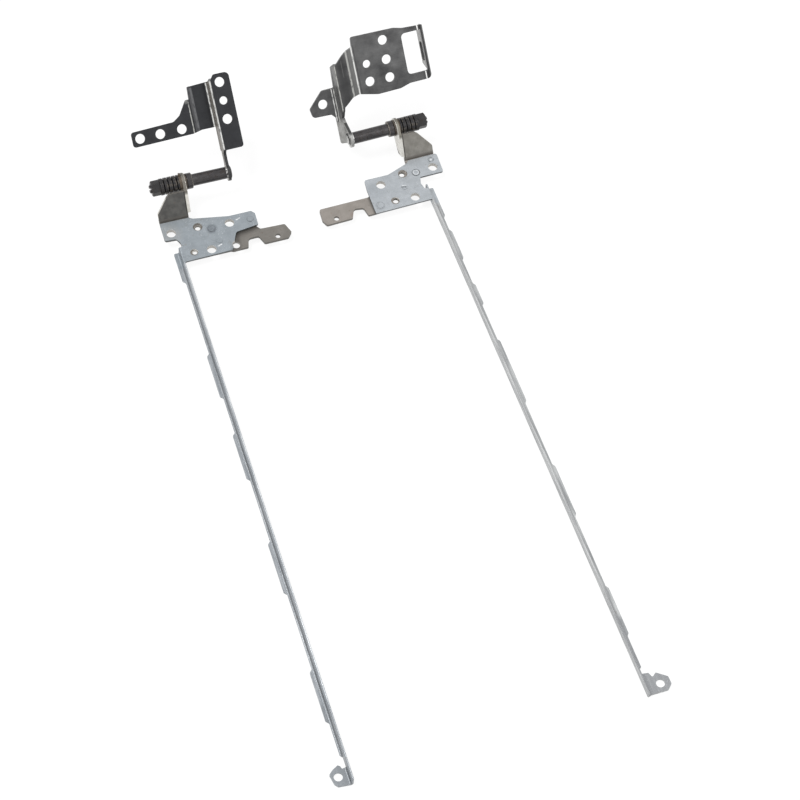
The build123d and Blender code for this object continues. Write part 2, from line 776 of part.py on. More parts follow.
# Right base bracket: a tab, a web, a middle plate and a broad plate with a folded leaf
right_web_far_x = right_base_ear_x + bracket_sheet
right_step = right_top_level - right_middle_level
right_plan_depth = right_leaf_depth + 2 * bracket_sheet
right_tab_bottom = right_tab_level - bracket_sheet
tab_fold = tab_bend + half_sheet
plate_fold = inside_bend + half_sheet
leaf_fold = leaf_bend + half_sheet
lip_level = right_tab_level + tab_bend
window_far = right_leaf_x - bracket_sheet - window_lip
with BuildPart() as right_base_bracket:
    with BuildSketch(right.base_end(right_base_back)):
        with BuildLine():
            FilletPolyline(
                (-32.0, right_tab_level - half_sheet),
                (right_base_ear_x + half_sheet, right_tab_level - half_sheet),
                (right_base_ear_x + half_sheet, right_middle_level - half_sheet),
                (right_step_x, right_middle_level - half_sheet),
                (right_step_x + right_step, right_top_level - half_sheet),
                (right_leaf_x - half_sheet, right_top_level - half_sheet),
                (right_leaf_x - half_sheet - leaf_lean, right_leaf_bottom),
                radius=[tab_fold, plate_fold, plate_fold, plate_fold, leaf_fold],
            )
        trace(line_width=bracket_sheet)
    extrude(amount=right_base_back - lip_end)
    with BuildSketch(right.base(right_top_level)):
        with BuildLine():
            rounded(
                [
                    (-13.9, right_base_back, 0.8),
                    (1.9, right_base_back - 0.4, 4.0),
                    (5.0, leaf_corner_back + 0.5, 4.0),
                    (right_leaf_x, leaf_corner_back, 1.5),
                    (right_leaf_x, 14.3, 2.5),
                    (4.0, 14.3, 3.0),
                    (0.4, 13.3, 3.0),
                    (-8.0, 13.2, 4.0),
                    (-14.7, 14.8, 1.2),
                    (-16.8, 13.7, 1.0),
                    (-18.5, 12.3, 1.0),
                    (right_web_far_x + 0.1, 11.0, 0),
                    (right_web_far_x + 0.1, lip_end, 0),
                    (lip_edge_x, lip_end, 0.5),
                    (lip_edge_x, 7.6, 0.5),
                    (-24.6, 9.1, 1.0),
                    (-31.2, 9.4, 1.2),
                    (-31.8, 12.6, 1.0),
                    (-26.4, 18.1, 1.5),
                    (right_base_ear_x - 0.7, 18.15, 0.4),
                    (right_base_ear_x - 0.4, 25.4, 0.4),
                    (-20.1, 26.7, 0.5),
                    (-19.1, 27.7, 0.5),
                    (-17.7, 29.0, 1.0),
                    (-16.0, 30.3, 1.0),
                    (-14.2, 31.5, 0.3),
                ]
            )
        make_face()
    extrude(amount=-right_plan_depth, mode=Mode.INTERSECT)
    # Beside the ear only the tab's bend runs on, as a curved lip
    with BuildSketch(right.round_shaft(lip_edge_x - bracket_sheet)):
        with BuildLine():
            Polyline(
                (lip_end - 1, lip_level),
                (5.5, lip_level),
                (7.2, lip_level - 0.95),
                (10.9, right_middle_level),
                (10.9, right_middle_level + bracket_sheet),
                (lip_end - 1, right_middle_level + bracket_sheet),
                close=True,
            )
        make_face()
    extrude(amount=right_web_far_x + 2 * bracket_sheet - lip_edge_x, mode=Mode.SUBTRACT)
    # The leaf's tapered ends
    with BuildSketch(right.round_shaft(right_leaf_x)):
        with BuildLine():
            Polyline(
                (14.0, right_top_level - 2.2),
                (17.0, right_top_level - 3.4),
                (19.4, right_leaf_bottom - half_sheet),
                (14.0, right_leaf_bottom - half_sheet),
                close=True,
            )
        make_face()
        with BuildLine():
            Polyline(
                (right_base_back, right_top_level - 2.0),
                (leaf_corner_back - 0.8, right_top_level - 3.6),
                (right_leaf_back, right_leaf_bottom - half_sheet),
                (right_base_back, right_leaf_bottom - half_sheet),
                close=True,
            )
        make_face()
    extrude(amount=-3 * bracket_sheet, mode=Mode.SUBTRACT)
    # The window, cut into the leaf's bend, and the leaf's slot
    with BuildSketch(right.base(right_top_level)):
        with BuildLine():
            rounded(
                [
                    (window_side, window_start, 1.5),
                    (window_side, window_end, 1.5),
                    (window_far, window_end, 0.3),
                    (window_far, window_start, 0.3),
                ]
            )
        make_face()
    extrude(amount=-2 * bracket_sheet, mode=Mode.SUBTRACT)
    with BuildSketch(right.round_shaft(right_leaf_x)):
        with Locations((slot_middle, right_leaf_bottom + slot_rim + slot_width / 2)):
            SlotOverall(slot_length, slot_width)
    extrude(amount=-3 * bracket_sheet, mode=Mode.SUBTRACT)
    # The riveted ear stands on the lip
    ear_foot = lip_level - 0.05
    with BuildSketch(right.round_shaft(right_base_ear_x)):
        with BuildLine():
            Polyline((lip_end, ear_foot), (5.5, ear_foot), (5.5, lip_level + 0.05), close=True)
        make_face()
        Circle(base_ear_radius)
        make_hull()
        with Locations((0, ear_foot - base_ear_radius)):
            Rectangle(6 * base_ear_radius, 2 * base_ear_radius, mode=Mode.SUBTRACT)
        Circle(ear_bore_radius, mode=Mode.SUBTRACT)
    extrude(amount=bracket_sheet)
    with BuildSketch(right.base(right_top_level)):
        with Locations((-2.7, 31.3), (-2.7, 24.4), (-2.7, 18.0), (-10.0, 18.2), (-26.85, 13.3)):
            Circle(base_hole_radius)
        with Locations((-10.0, 24.5)):
            Circle(small_base_hole_radius)
    extrude(amount=-(right_top_level - right_tab_bottom + 1), mode=Mode.SUBTRACT)
write(right_base_bracket, "right_base_bracket")


def write_shaft_and_stack(hinge, name, toward_nut, ear_x, base_ear_x, outer_thickness):
    """The shaft of one hinge with every washer, spring and nut along it, from the ear out."""
    ear_far_x = ear_x + bracket_sheet
    inner_face = ear_far_x if toward_nut < 0 else ear_x
    outer_face = ear_x if toward_nut < 0 else ear_far_x

    def low_end(start, thickness):
        return min(start, start + toward_nut * thickness)

    inner_x = low_end(inner_face - toward_nut * inner_washer_thickness, inner_washer_thickness)
    write(make_ring(hinge, inner_x, inner_washer_thickness, washer_radius), f"{name}_inner_washer")
    outer_x = low_end(outer_face, outer_thickness)
    write(make_ring(hinge, outer_x, outer_thickness, washer_radius), f"{name}_outer_washer")
    collar_x = inner_face - toward_nut * (inner_washer_thickness + running_gap)
    first_spring = outer_face + toward_nut * (outer_thickness + running_gap)
    for count in range(spring_count):
        start = first_spring + toward_nut * count * spring_pitch
        cone = toward_nut * spring_cone * (1 if count % 2 else -1)
        spring = make_disc_spring(hinge, low_end(start, spring_sheet + spring_cone), cone)
        write(spring, f"{name}_disc_spring_{count + 1}")
    washer_start = first_spring + toward_nut * spring_stack
    washer_x = low_end(washer_start, pressure_washer_thickness)
    write(make_pressure_washer(hinge, washer_x), f"{name}_pressure_washer")
    nut_start = washer_start + toward_nut * pressure_washer_thickness
    write(make_nut(hinge, low_end(nut_start, nut_length)), f"{name}_nut")
    nut_end = nut_start + toward_nut * nut_length
    write(make_shaft(hinge, base_ear_x, collar_x, nut_end, nut_start, toward_nut), f"{name}_shaft")


write_shaft_and_stack(
    left, "left", -1, left_swivel_ear_x, left_base_ear_x, left_outer_washer_thickness
)
write_shaft_and_stack(
    right, "right", 1, right_swivel_ear_x, right_base_ear_x, right_outer_washer_thickness
)
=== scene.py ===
"""The finishes, small details, studio and camera of a laptop hinge pair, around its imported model."""

from __future__ import annotations

import json
import logging
import math
from dataclasses import dataclass
from enum import Enum

import bmesh
import bpy
from mathutils import Euler, Matrix, Vector

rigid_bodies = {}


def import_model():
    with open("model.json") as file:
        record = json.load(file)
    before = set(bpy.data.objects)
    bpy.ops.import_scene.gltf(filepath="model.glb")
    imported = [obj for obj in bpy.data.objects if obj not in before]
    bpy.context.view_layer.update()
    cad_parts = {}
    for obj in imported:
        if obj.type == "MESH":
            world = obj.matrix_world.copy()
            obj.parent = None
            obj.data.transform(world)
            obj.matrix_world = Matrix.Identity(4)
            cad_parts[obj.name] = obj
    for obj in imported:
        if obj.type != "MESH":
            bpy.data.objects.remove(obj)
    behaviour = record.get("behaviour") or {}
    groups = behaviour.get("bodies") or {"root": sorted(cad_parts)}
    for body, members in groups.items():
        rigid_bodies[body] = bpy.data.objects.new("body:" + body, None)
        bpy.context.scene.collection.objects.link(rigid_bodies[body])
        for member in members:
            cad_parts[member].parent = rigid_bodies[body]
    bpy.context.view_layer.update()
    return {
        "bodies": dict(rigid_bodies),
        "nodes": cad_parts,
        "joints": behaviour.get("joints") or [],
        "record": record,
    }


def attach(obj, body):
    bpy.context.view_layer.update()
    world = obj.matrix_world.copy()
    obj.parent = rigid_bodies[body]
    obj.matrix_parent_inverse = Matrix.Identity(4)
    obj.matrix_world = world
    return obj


LOG = logging.getLogger("hinge_pair")
MM = 0.001
Colour = tuple[float, float, float]
Triple = tuple[float, float, float]
Pair = tuple[float, float]
Socket = bpy.types.NodeSocket

WHITE: Colour = (1.0, 1.0, 1.0)
PALE: Colour = (0.83, 0.83, 0.81)

# Levels of the lid's sheets over the bench, in millimetres
LID_SHEET = 0.7
SOLE_SHEET = 1.0
PLATE_TOP = 4.0
PLATE_UNDER = PLATE_TOP - LID_SHEET
SOLE_UNDER = PLATE_UNDER - SOLE_SHEET

# Shares of the facing between which a lean face turns into a level one, and an edge into a broad face
LEVEL: Pair = (0.6, 0.8)
ON_EDGE: Pair = (0.25, 0.6)


class Side(Enum):
    """The two hinges of the pair."""

    LEFT = "left"
    RIGHT = "right"


class Rides(Enum):
    """The bodies that the pieces ride on."""

    RAILS = "rails"
    LEFT_BASE = "left_base"
    RIGHT_BASE = "right_base"


# Places in each hinge's lid frame, in millimetres
AXIS_BEHIND_EDGE = {Side.LEFT: 27.487, Side.RIGHT: 27.787}
SCREW_HOLES = {
    Side.LEFT: ((-1.6, 12.8), (10.1, 2.8), (18.9, 11.8)),
    Side.RIGHT: ((4.9, 12.7), (-5.3, 2.5), (-15.1, 10.9)),
}
TAPPED_HOLES = {Side.LEFT: ((7.9, 13.0),), Side.RIGHT: ((-6.4, 13.3), (-12.2, 3.3))}
PLAIN_HOLES = {Side.LEFT: ((18.8, 2.7), (4.0, 3.2)), Side.RIGHT: ()}


def lin(red: float, green: float, blue: float) -> Colour:
    """Return the linear colour of a display colour given as 0 to 255."""
    shares = (red / 255, green / 255, blue / 255)
    return tuple(((c + 0.055) / 1.055) ** 2.4 if c > 0.04 else c / 12.92 for c in shares)


@dataclass(frozen=True)
class Frame:
    """A place and a turn on the model. Lengths in it are in millimetres."""

    origin: Vector
    turn: Euler

    def at(self, x: float, y: float, z: float) -> Vector:
        """Return a point of this frame as a point of the model, in metres."""
        return self.origin + self.turn.to_matrix() @ (Vector((x, y, z)) * MM)


@dataclass(frozen=True)
class Hinge:
    """Where one hinge lies, worked out from its joint in the record."""

    side: Side
    pivot: Vector
    lay: float
    tilt: float

    @classmethod
    def of(cls, side: Side, joints: list[dict]) -> Hinge:
        """Read one hinge.

        Args:
            side: which hinge.
            joints: the record's joints.

        Returns:
            The hinge's places.
        """
        joint = next(j for j in joints if j["name"] == f"{side.value}_hinge")
        lay = math.atan2(joint["axis"][1], joint["axis"][0])
        return cls(side, Vector(joint["pos_m"]), lay, math.radians(180 - joint["range_deg"][1]))

    def lid(self) -> Frame:
        """Place the lid plate.

        Returns:
            Its frame: x along the shaft, y from the plate's near edge to the shaft, z from the bench.
        """
        turn = Euler((0, 0, self.lay))
        corner = turn.to_matrix() @ Vector((0, AXIS_BEHIND_EDGE[self.side] * MM, self.pivot.z))
        return Frame(self.pivot - corner, turn)

    def base(self) -> Frame:
        """Return the base bracket's frame: x along the shaft, y out from the axis, z the level."""
        return Frame(self.pivot, Euler((self.tilt, 0, self.lay)))

    def holes(self) -> tuple[Pair, ...]:
        """Return the centres of the lid plate's holes."""
        return SCREW_HOLES[self.side] + TAPPED_HOLES[self.side] + PLAIN_HOLES[self.side]


class Field:
    """A shader value on which Python's operators act."""

    LINE_CORE = 0.12
    LINE_REACH = 0.6

    def __init__(self, net: Net, socket: Socket) -> None:
        """Wrap one output socket of a net."""
        self.net = net
        self.socket = socket

    def maths(self, operation: str, first: Field | float, second: Field | float = 0.0) -> Field:
        """Add one Math node.

        Args:
            operation: the Math node's operation.
            first: its first value.
            second: its second value.

        Returns:
            The node's result.
        """
        node = self.net.node("ShaderNodeMath", {"operation": operation}, {0: first, 1: second})
        return Field(self.net, node.outputs[0])

    def __add__(self, other: Field | float) -> Field:
        """Return the sum."""
        return self.maths("ADD", self, other)

    __radd__ = __add__

    def __sub__(self, other: Field | float) -> Field:
        """Return the difference."""
        return self.maths("SUBTRACT", self, other)

    def __rsub__(self, other: float) -> Field:
        """Return a number less this value."""
        return self.maths("SUBTRACT", other, self)

    def __mul__(self, other: Field | float) -> Field:
        """Return the product."""
        return self.maths("MULTIPLY", self, other)

    __rmul__ = __mul__

    def __truediv__(self, other: Field | float) -> Field:
        """Return the quotient."""
        return self.maths("DIVIDE", self, other)

    def __neg__(self) -> Field:
        """Return the value with its sign turned."""
        return self.maths("MULTIPLY", self, -1.0)

    def __abs__(self) -> Field:
        """Return the value without its sign."""
        return self.maths("ABSOLUTE", self)

    def hypot(self, other: Field) -> Field:
        """Return how far two offsets at right angles reach together."""
        return self.maths("SQRT", self * self + other * other)

    def larger(self, other: Field | float) -> Field:
        """Return the larger of two values."""
        return self.maths("MAXIMUM", self, other)

    def smaller(self, other: Field | float) -> Field:
        """Return the smaller of two values."""
        return self.maths("MINIMUM", self, other)

    def rising(self, low: float, high: float) -> Field:
        """Return a smooth step from 0 at low to 1 at high."""
        values = {"Value": self, "From Min": low, "From Max": high, "To Min": 0.0, "To Max": 1.0}
        node = self.net.node("ShaderNodeMapRange", {"interpolation_type": "SMOOTHSTEP"}, values)
        return Field(self.net, node.outputs[0])

    def falling(self, low: float, high: float) -> Field:
        """Return a smooth step from 1 at low to 0 at high."""
        return 1.0 - self.rising(low, high)

    def between(self, low: float, high: float, soft: float) -> Field:
        """Return 1 from low to high, with soft ends."""
        return self.rising(low - soft, low + soft) * self.falling(high - soft, high + soft)

    def line(self, place: float, width: float) -> Field:
        """Return a soft line of the given whole width at one place."""
        return abs(self - place).falling(self.LINE_CORE * width, self.LINE_REACH * width)


class Net:
    """A node tree, and the one way to add a node to it."""

    def __init__(self, tree: bpy.types.NodeTree) -> None:
        """Take on a tree and empty it."""
        self.tree = tree
        self.tree.nodes.clear()

    @classmethod
    def on(cls, owner: bpy.types.Material | bpy.types.World) -> Net:
        """Return the empty net of a material or of the world."""
        owner.use_nodes = True
        return cls(owner.node_tree)

    def node(self, kind: str, settings: dict | None = None, values: dict | None = None) -> bpy.types.Node:
        """Add one node.

        Args:
            kind: the node's type.
            settings: its properties.
            values: what its sockets hold or are linked to, by name or index.

        Returns:
            The node.
        """
        made = self.tree.nodes.new(kind)
        for key, value in (settings or {}).items():
            setattr(made, key, value)
        for key, value in (values or {}).items():
            socket = made.inputs[key]
            value = value.socket if isinstance(value, Field) else value
            if isinstance(value, Socket):
                self.tree.links.new(value, socket)
            elif socket.type == "RGBA":
                socket.default_value = (*value, 1.0)
            else:
                socket.default_value = value
        return made

    def mix(self, factor: Field | float, first: Colour | Socket, second: Colour | Socket) -> Socket:
        """Return a colour between two colours."""
        values = {"Factor": factor, 6: first, 7: second}
        return self.node("ShaderNodeMix", {"data_type": "RGBA", "clamp_factor": True}, values).outputs[2]

    def mapped(self, vector: Socket, values: dict, kind: str = "POINT") -> Socket:
        """Return a vector through one Mapping node of the given kind."""
        values = {"Vector": vector, **values}
        return self.node("ShaderNodeMapping", {"vector_type": kind}, values).outputs[0]

    def spot(self, frame: Frame) -> Socket:
        """Return the Object coordinates in one frame, in millimetres."""
        values = {"Location": frame.origin, "Rotation": frame.turn, "Scale": (MM, MM, MM)}
        return self.mapped(self.node("ShaderNodeTexCoord").outputs["Object"], values, "TEXTURE")

    def facing(self, frame: Frame) -> Socket:
        """Return the way that the surface faces, in one frame."""
        normal = self.node("ShaderNodeTexCoord").outputs["Normal"]
        return self.mapped(normal, {"Rotation": frame.turn}, "TEXTURE")

    def parts(self, vector: Socket) -> tuple[Field, Field, Field]:
        """Return a vector's three values."""
        split = self.node("ShaderNodeSeparateXYZ", None, {0: vector})
        return tuple(Field(self, split.outputs[axis]) for axis in range(3))


@dataclass(frozen=True)
class Noise:
    """A noise over a piece, or, where it has a climb, the patches where the noise climbs past a level.

    Its size is that of its features, in millimetres.
    """

    size: float
    detail: float = 1.0
    climb: Pair | None = None
    stretch: Triple | None = None
    turn: Triple = (0.0, 0.0, 0.0)

    def over(self, net: Net, spot: Socket) -> Field:
        """Spread the noise.

        Args:
            net: the net that it joins.
            spot: the place on the piece.

        Returns:
            Its value there.
        """
        if self.stretch:
            turned = net.mapped(spot, {"Rotation": self.turn})
            spot = net.mapped(turned, {"Scale": self.stretch})
        values = {"Vector": spot, "Scale": 1.0 / self.size, "Detail": self.detail}
        value = Field(net, net.node("ShaderNodeTexNoise", None, values).outputs["Fac"])
        return value.rising(*self.climb) if self.climb else value

    def swing(self, net: Net, spot: Socket) -> Field:
        """Return the noise less its mean, so that it swings about 0."""
        return self.over(net, spot) - 0.5


@dataclass(frozen=True)
class Film:
    """What one layer looks like: its strength, tone and roughness, and its rise in millimetres."""

    strength: float = 1.0
    tone: Colour | Socket | None = None
    roughness: float | None = None
    rise: float = 0.0


class Coat:
    """How a surface looks so far: each film is laid over the ones before it."""

    EDGE_SAMPLES = 4

    def __init__(self, net: Net, colour: Socket, roughness: Field, metallic: float) -> None:
        """Start with one colour all over."""
        self.net = net
        self.colour = colour
        self.roughness = roughness
        self.metallic = metallic
        self.height: Field | float = 0.0

    def lay(self, mask: Field, film: Film) -> None:
        """Lay one film.

        Args:
            mask: 1 where it lies.
            film: what it looks like.
        """
        mask = mask * film.strength
        if film.tone is not None:
            self.colour = self.net.mix(mask, self.colour, film.tone)
        if film.roughness is not None:
            self.roughness = self.roughness + (film.roughness - self.roughness) * mask
        if film.rise:
            self.height = self.height + mask * film.rise

    def finish(self, edge_radius: float, specular: float) -> None:
        """Put the shader together.

        Args:
            edge_radius: the radius at which sharp edges catch the light, in millimetres.
            specular: how strongly the coat mirrors, 0.5 being plain lacquer.
        """
        net = self.net
        bevel = net.node("ShaderNodeBevel", {"samples": self.EDGE_SAMPLES}, {"Radius": edge_radius * MM})
        values = {"Strength": 1.0, "Distance": MM, "Height": self.height, "Normal": bevel.outputs[0]}
        bump = net.node("ShaderNodeBump", None, values)
        values = {
            "Base Color": self.colour,
            "Metallic": self.metallic,
            "Roughness": self.roughness,
            "Specular IOR Level": specular,
            "Normal": bump.outputs[0],
        }
        shader = net.node("ShaderNodeBsdfPrincipled", None, values)
        net.node("ShaderNodeOutputMaterial", None, {"Surface": shader.outputs[0]})


@dataclass(frozen=True)
class Rolled:
    """Rolled sheet steel under its plating: grain, mottling, specks and a few fine scratches."""

    name: str
    frame: Frame
    dark: Colour
    light: Colour
    cut: Colour = lin(150, 148, 145)
    roughness: float = 0.4
    metallic: float = 0.6
    specular: float = 0.5
    grain: float = 0.35
    mottle: float = 0.55
    speck: float = 0.2
    scratch: float = 0.25
    mottle_size: float = 3.0
    edge_radius: float = 0.1

    GRAIN = Noise(0.3, 3.0, None, (0.05, 1.0, 1.0))
    MOTTLE_DETAIL = 4.0
    SPECKS = Noise(0.4, 2.0)
    SCRATCHES = Noise(0.35, 1.0, (0.68, 0.74), (0.04, 1.0, 1.0), (0.3, 0.2, 0.9))
    SCRATCHED_AREAS = Noise(5.0, 1.0, (0.5, 0.6))
    ROUGH_BY_MOTTLE, ROUGH_BY_GRAIN = 0.16, 0.12
    RISE_BY_GRAIN, RISE_BY_SPECK, RISE_BY_MOTTLE = 0.004, 0.006, 0.01

    def build(self) -> bpy.types.Material:
        """Make the material.

        Returns:
            The finished material.
        """
        material = bpy.data.materials.new(self.name)
        net = Net.on(material)
        spot = net.spot(self.frame)
        grain = self.GRAIN.swing(net, spot)
        mottle = Noise(self.mottle_size, self.MOTTLE_DETAIL).swing(net, spot)
        speck = self.SPECKS.swing(net, spot)
        shade = 0.5 + grain * self.grain + mottle * (2 * self.mottle) + speck * self.speck
        rough = self.roughness + mottle * self.ROUGH_BY_MOTTLE + grain * self.ROUGH_BY_GRAIN
        coat = Coat(net, net.mix(shade, self.dark, self.light), rough, self.metallic)
        rise = grain * self.RISE_BY_GRAIN + speck * self.RISE_BY_SPECK
        coat.height = rise + mottle * self.RISE_BY_MOTTLE
        scratches = self.SCRATCHES.over(net, spot) * self.SCRATCHED_AREAS.over(net, spot)
        coat.lay(scratches, Film(self.scratch, self.cut, 0.3, -0.002))
        self.mark(coat, spot)
        coat.finish(self.edge_radius, self.specular)
        return material

    def mark(self, coat: Coat, spot: Socket) -> None:
        """Lay this finish's own films on a coat, each by its place on the piece."""


@dataclass(frozen=True)
class Tick:
    """A scrape or a shadow between two points of a sheet."""

    start: Pair
    end: Pair
    width: float = 0.3
    tone: Colour = lin(236, 238, 240)
    strength: float = 0.9

    CORE = 0.2
    REACH = 0.7

    def mask(self, x: Field, y: Field) -> Field:
        """Find the scrape.

        Args:
            x: the first place on the sheet.
            y: the second place.

        Returns:
            1 on the scrape.
        """
        across, along = self.end[0] - self.start[0], self.end[1] - self.start[1]
        from_x, from_y = x - self.start[0], y - self.start[1]
        share = (from_x * across + from_y * along) / (across**2 + along**2)
        share = share.larger(0.0).smaller(1.0)
        far = (from_x - share * across).hypot(from_y - share * along)
        return far.falling(self.CORE * self.width, self.REACH * self.width)


@dataclass(frozen=True)
class Ring:
    """A pressed ring of a sheet."""

    centre: Pair
    radius: float
    width: float
    tone: Colour
    strength: float

    def mask(self, x: Field, y: Field) -> Field:
        """Return 1 on the ring."""
        return (x - self.centre[0]).hypot(y - self.centre[1]).line(self.radius, self.width)


@dataclass(frozen=True)
class Disc:
    """A round patch of a sheet, softer towards its rim."""

    centre: Pair
    radius: float
    tone: Colour = WHITE
    strength: float = 1.0

    CORE = 0.5

    def mask(self, x: Field, y: Field) -> Field:
        """Return 1 on the patch."""
        far = (x - self.centre[0]).hypot(y - self.centre[1])
        return far.falling(self.CORE * self.radius, self.radius)


@dataclass(frozen=True)
class Pierced(Rolled):
    """A sheet with round holes, whose sheared edges and hole walls show."""

    holes: tuple[Pair, ...] = ()
    hole_wall: Colour = lin(222, 221, 218)
    hole_reach: float = 2.4
    tear: float = PLATE_UNDER + 0.25
    tear_width: float = 0.25
    torn: Colour = lin(66, 66, 66)
    shear_strength: float = 0.9

    def shear(self, coat: Coat, place: tuple[Field, Field, Field], edges: Field) -> None:
        """Lay the sheared edges, darkened partly as painted shade, and the walls of the holes.

        Args:
            coat: the coat so far.
            place: the three places on the sheet.
            edges: 1 where the sheet shows its thickness.
        """
        x, y, z = place
        # The sheared edges' dark cut tone is partly the cut steel and partly painted shade of the edge's
        # thickness.
        torn = coat.net.mix(z.line(self.tear, self.tear_width), self.cut, self.torn)
        coat.lay(edges, Film(self.shear_strength, torn, 0.5))
        for hole in self.holes:
            coat.lay(Disc(hole, self.hole_reach).mask(x, y) * edges, Film(1.0, self.hole_wall, 0.5))


@dataclass(frozen=True)
class ZincPlate(Pierced):
    """A lid plate with its rail: bluish zinc on the plate, plainer grey along the rail."""

    marks: tuple[Tick | Ring | Disc, ...] = ()
    foot_shade: Colour = lin(128, 132, 136)
    rim_highlight_strength: float = 0.45
    rail_dark: Colour = lin(134, 139, 144)
    rail_light: Colour = lin(168, 172, 176)
    outward: float = -1.0

    RAIL_START = (-0.9, 0.3)
    RAIL_CORNER = 0.75
    RAIL_RIM = (PLATE_TOP - 0.2, PLATE_TOP - 0.05)
    FOOT_START = (-172.0, -169.0)
    PLATE_EDGE = (PLATE_UNDER - 0.2, PLATE_UNDER)
    BACK_FOLD = (15.5, 17.8)
    STREAKS = Noise(0.7, 3.0, None, (1.0, 0.06, 1.0))
    BREAKS = Noise(0.35, 1.0, (0.4, 0.52))
    STAINS = Noise(1.6, 3.0, (0.6, 0.72))
    STAINED_AREAS = Noise(9.0, 1.0, (0.45, 0.62))
    PITS = Noise(0.22, 1.0, (0.68, 0.76))
    GLINTS = Noise(0.3, 1.0, (0.62, 0.72), (1.0, 0.5, 1.0), (0.0, 0.0, 0.4))
    GLINTING_AREAS = Noise(4.0, 1.0, (0.4, 0.55))
    CORNER_SHADE = Film(0.65, lin(96, 97, 98), 0.5)
    STAIN = Film(0.35, lin(120, 114, 104), 0.5)
    FOLD_STAIN = Film(0.25, STAIN.tone, 0.45)
    PIT = Film(0.35, lin(88, 90, 92), 0.55, -0.004)
    GLINT = Film(0.3, lin(214, 219, 223), 0.3, 0.003)

    def mark(self, coat: Coat, spot: Socket) -> None:
        """Lay the rail's grey, the painted highlight along its top edge, the painted shade on its feet, the
        sheared edges, the pressed marks, one of them a painted shadow, and a few stains.

        Args:
            coat: the coat so far.
            spot: the place in the lid's frame.
        """
        net = coat.net
        x, y, z = net.parts(spot)
        _, _, face_z = net.parts(net.facing(self.frame))
        streaks = self.STREAKS.over(net, spot)
        rail = y.falling(*self.RAIL_START)
        coat.lay(rail, Film(1.0, net.mix(streaks.rising(0.3, 0.7), self.rail_dark, self.rail_light)))
        out = x * self.outward
        coat.lay(z.line(self.RAIL_CORNER, 0.9) * out.line(self.RAIL_CORNER, 1.0) * rail, self.CORNER_SHADE)
        # Painted highlight along the rail's top edge, broken up by the streaks.
        rim = face_z.rising(0.7, 0.9) * z.rising(*self.RAIL_RIM) * rail
        rim_highlight = 0.3 + 0.4 * streaks.rising(0.4, 0.6)
        coat.lay(rim * rim_highlight, Film(self.rim_highlight_strength, lin(205, 206, 207), 0.35))
        flat = z.rising(*self.PLATE_EDGE) * (1.0 - rail)
        self.shear(coat, (x, y, z), abs(face_z).falling(*ON_EDGE) * flat)
        level = face_z.rising(*LEVEL)
        # Painted shade: the rail's feet are painted darker.
        coat.lay(y.falling(*self.FOOT_START) * level, Film(0.8, self.foot_shade, 0.45))
        broken = 0.45 + 0.55 * self.BREAKS.over(net, spot)
        for mark in self.marks:
            coat.lay(mark.mask(x, y) * level * flat * broken, Film(mark.strength, mark.tone, 0.3))
        coat.lay(self.STAINS.over(net, spot) * self.STAINED_AREAS.over(net, spot), self.STAIN)
        coat.lay(y.rising(*self.BACK_FOLD) * flat * streaks, self.FOLD_STAIN)
        coat.lay(self.PITS.over(net, spot), self.PIT)
        coat.lay(self.GLINTS.over(net, spot) * self.GLINTING_AREAS.over(net, spot), self.GLINT)


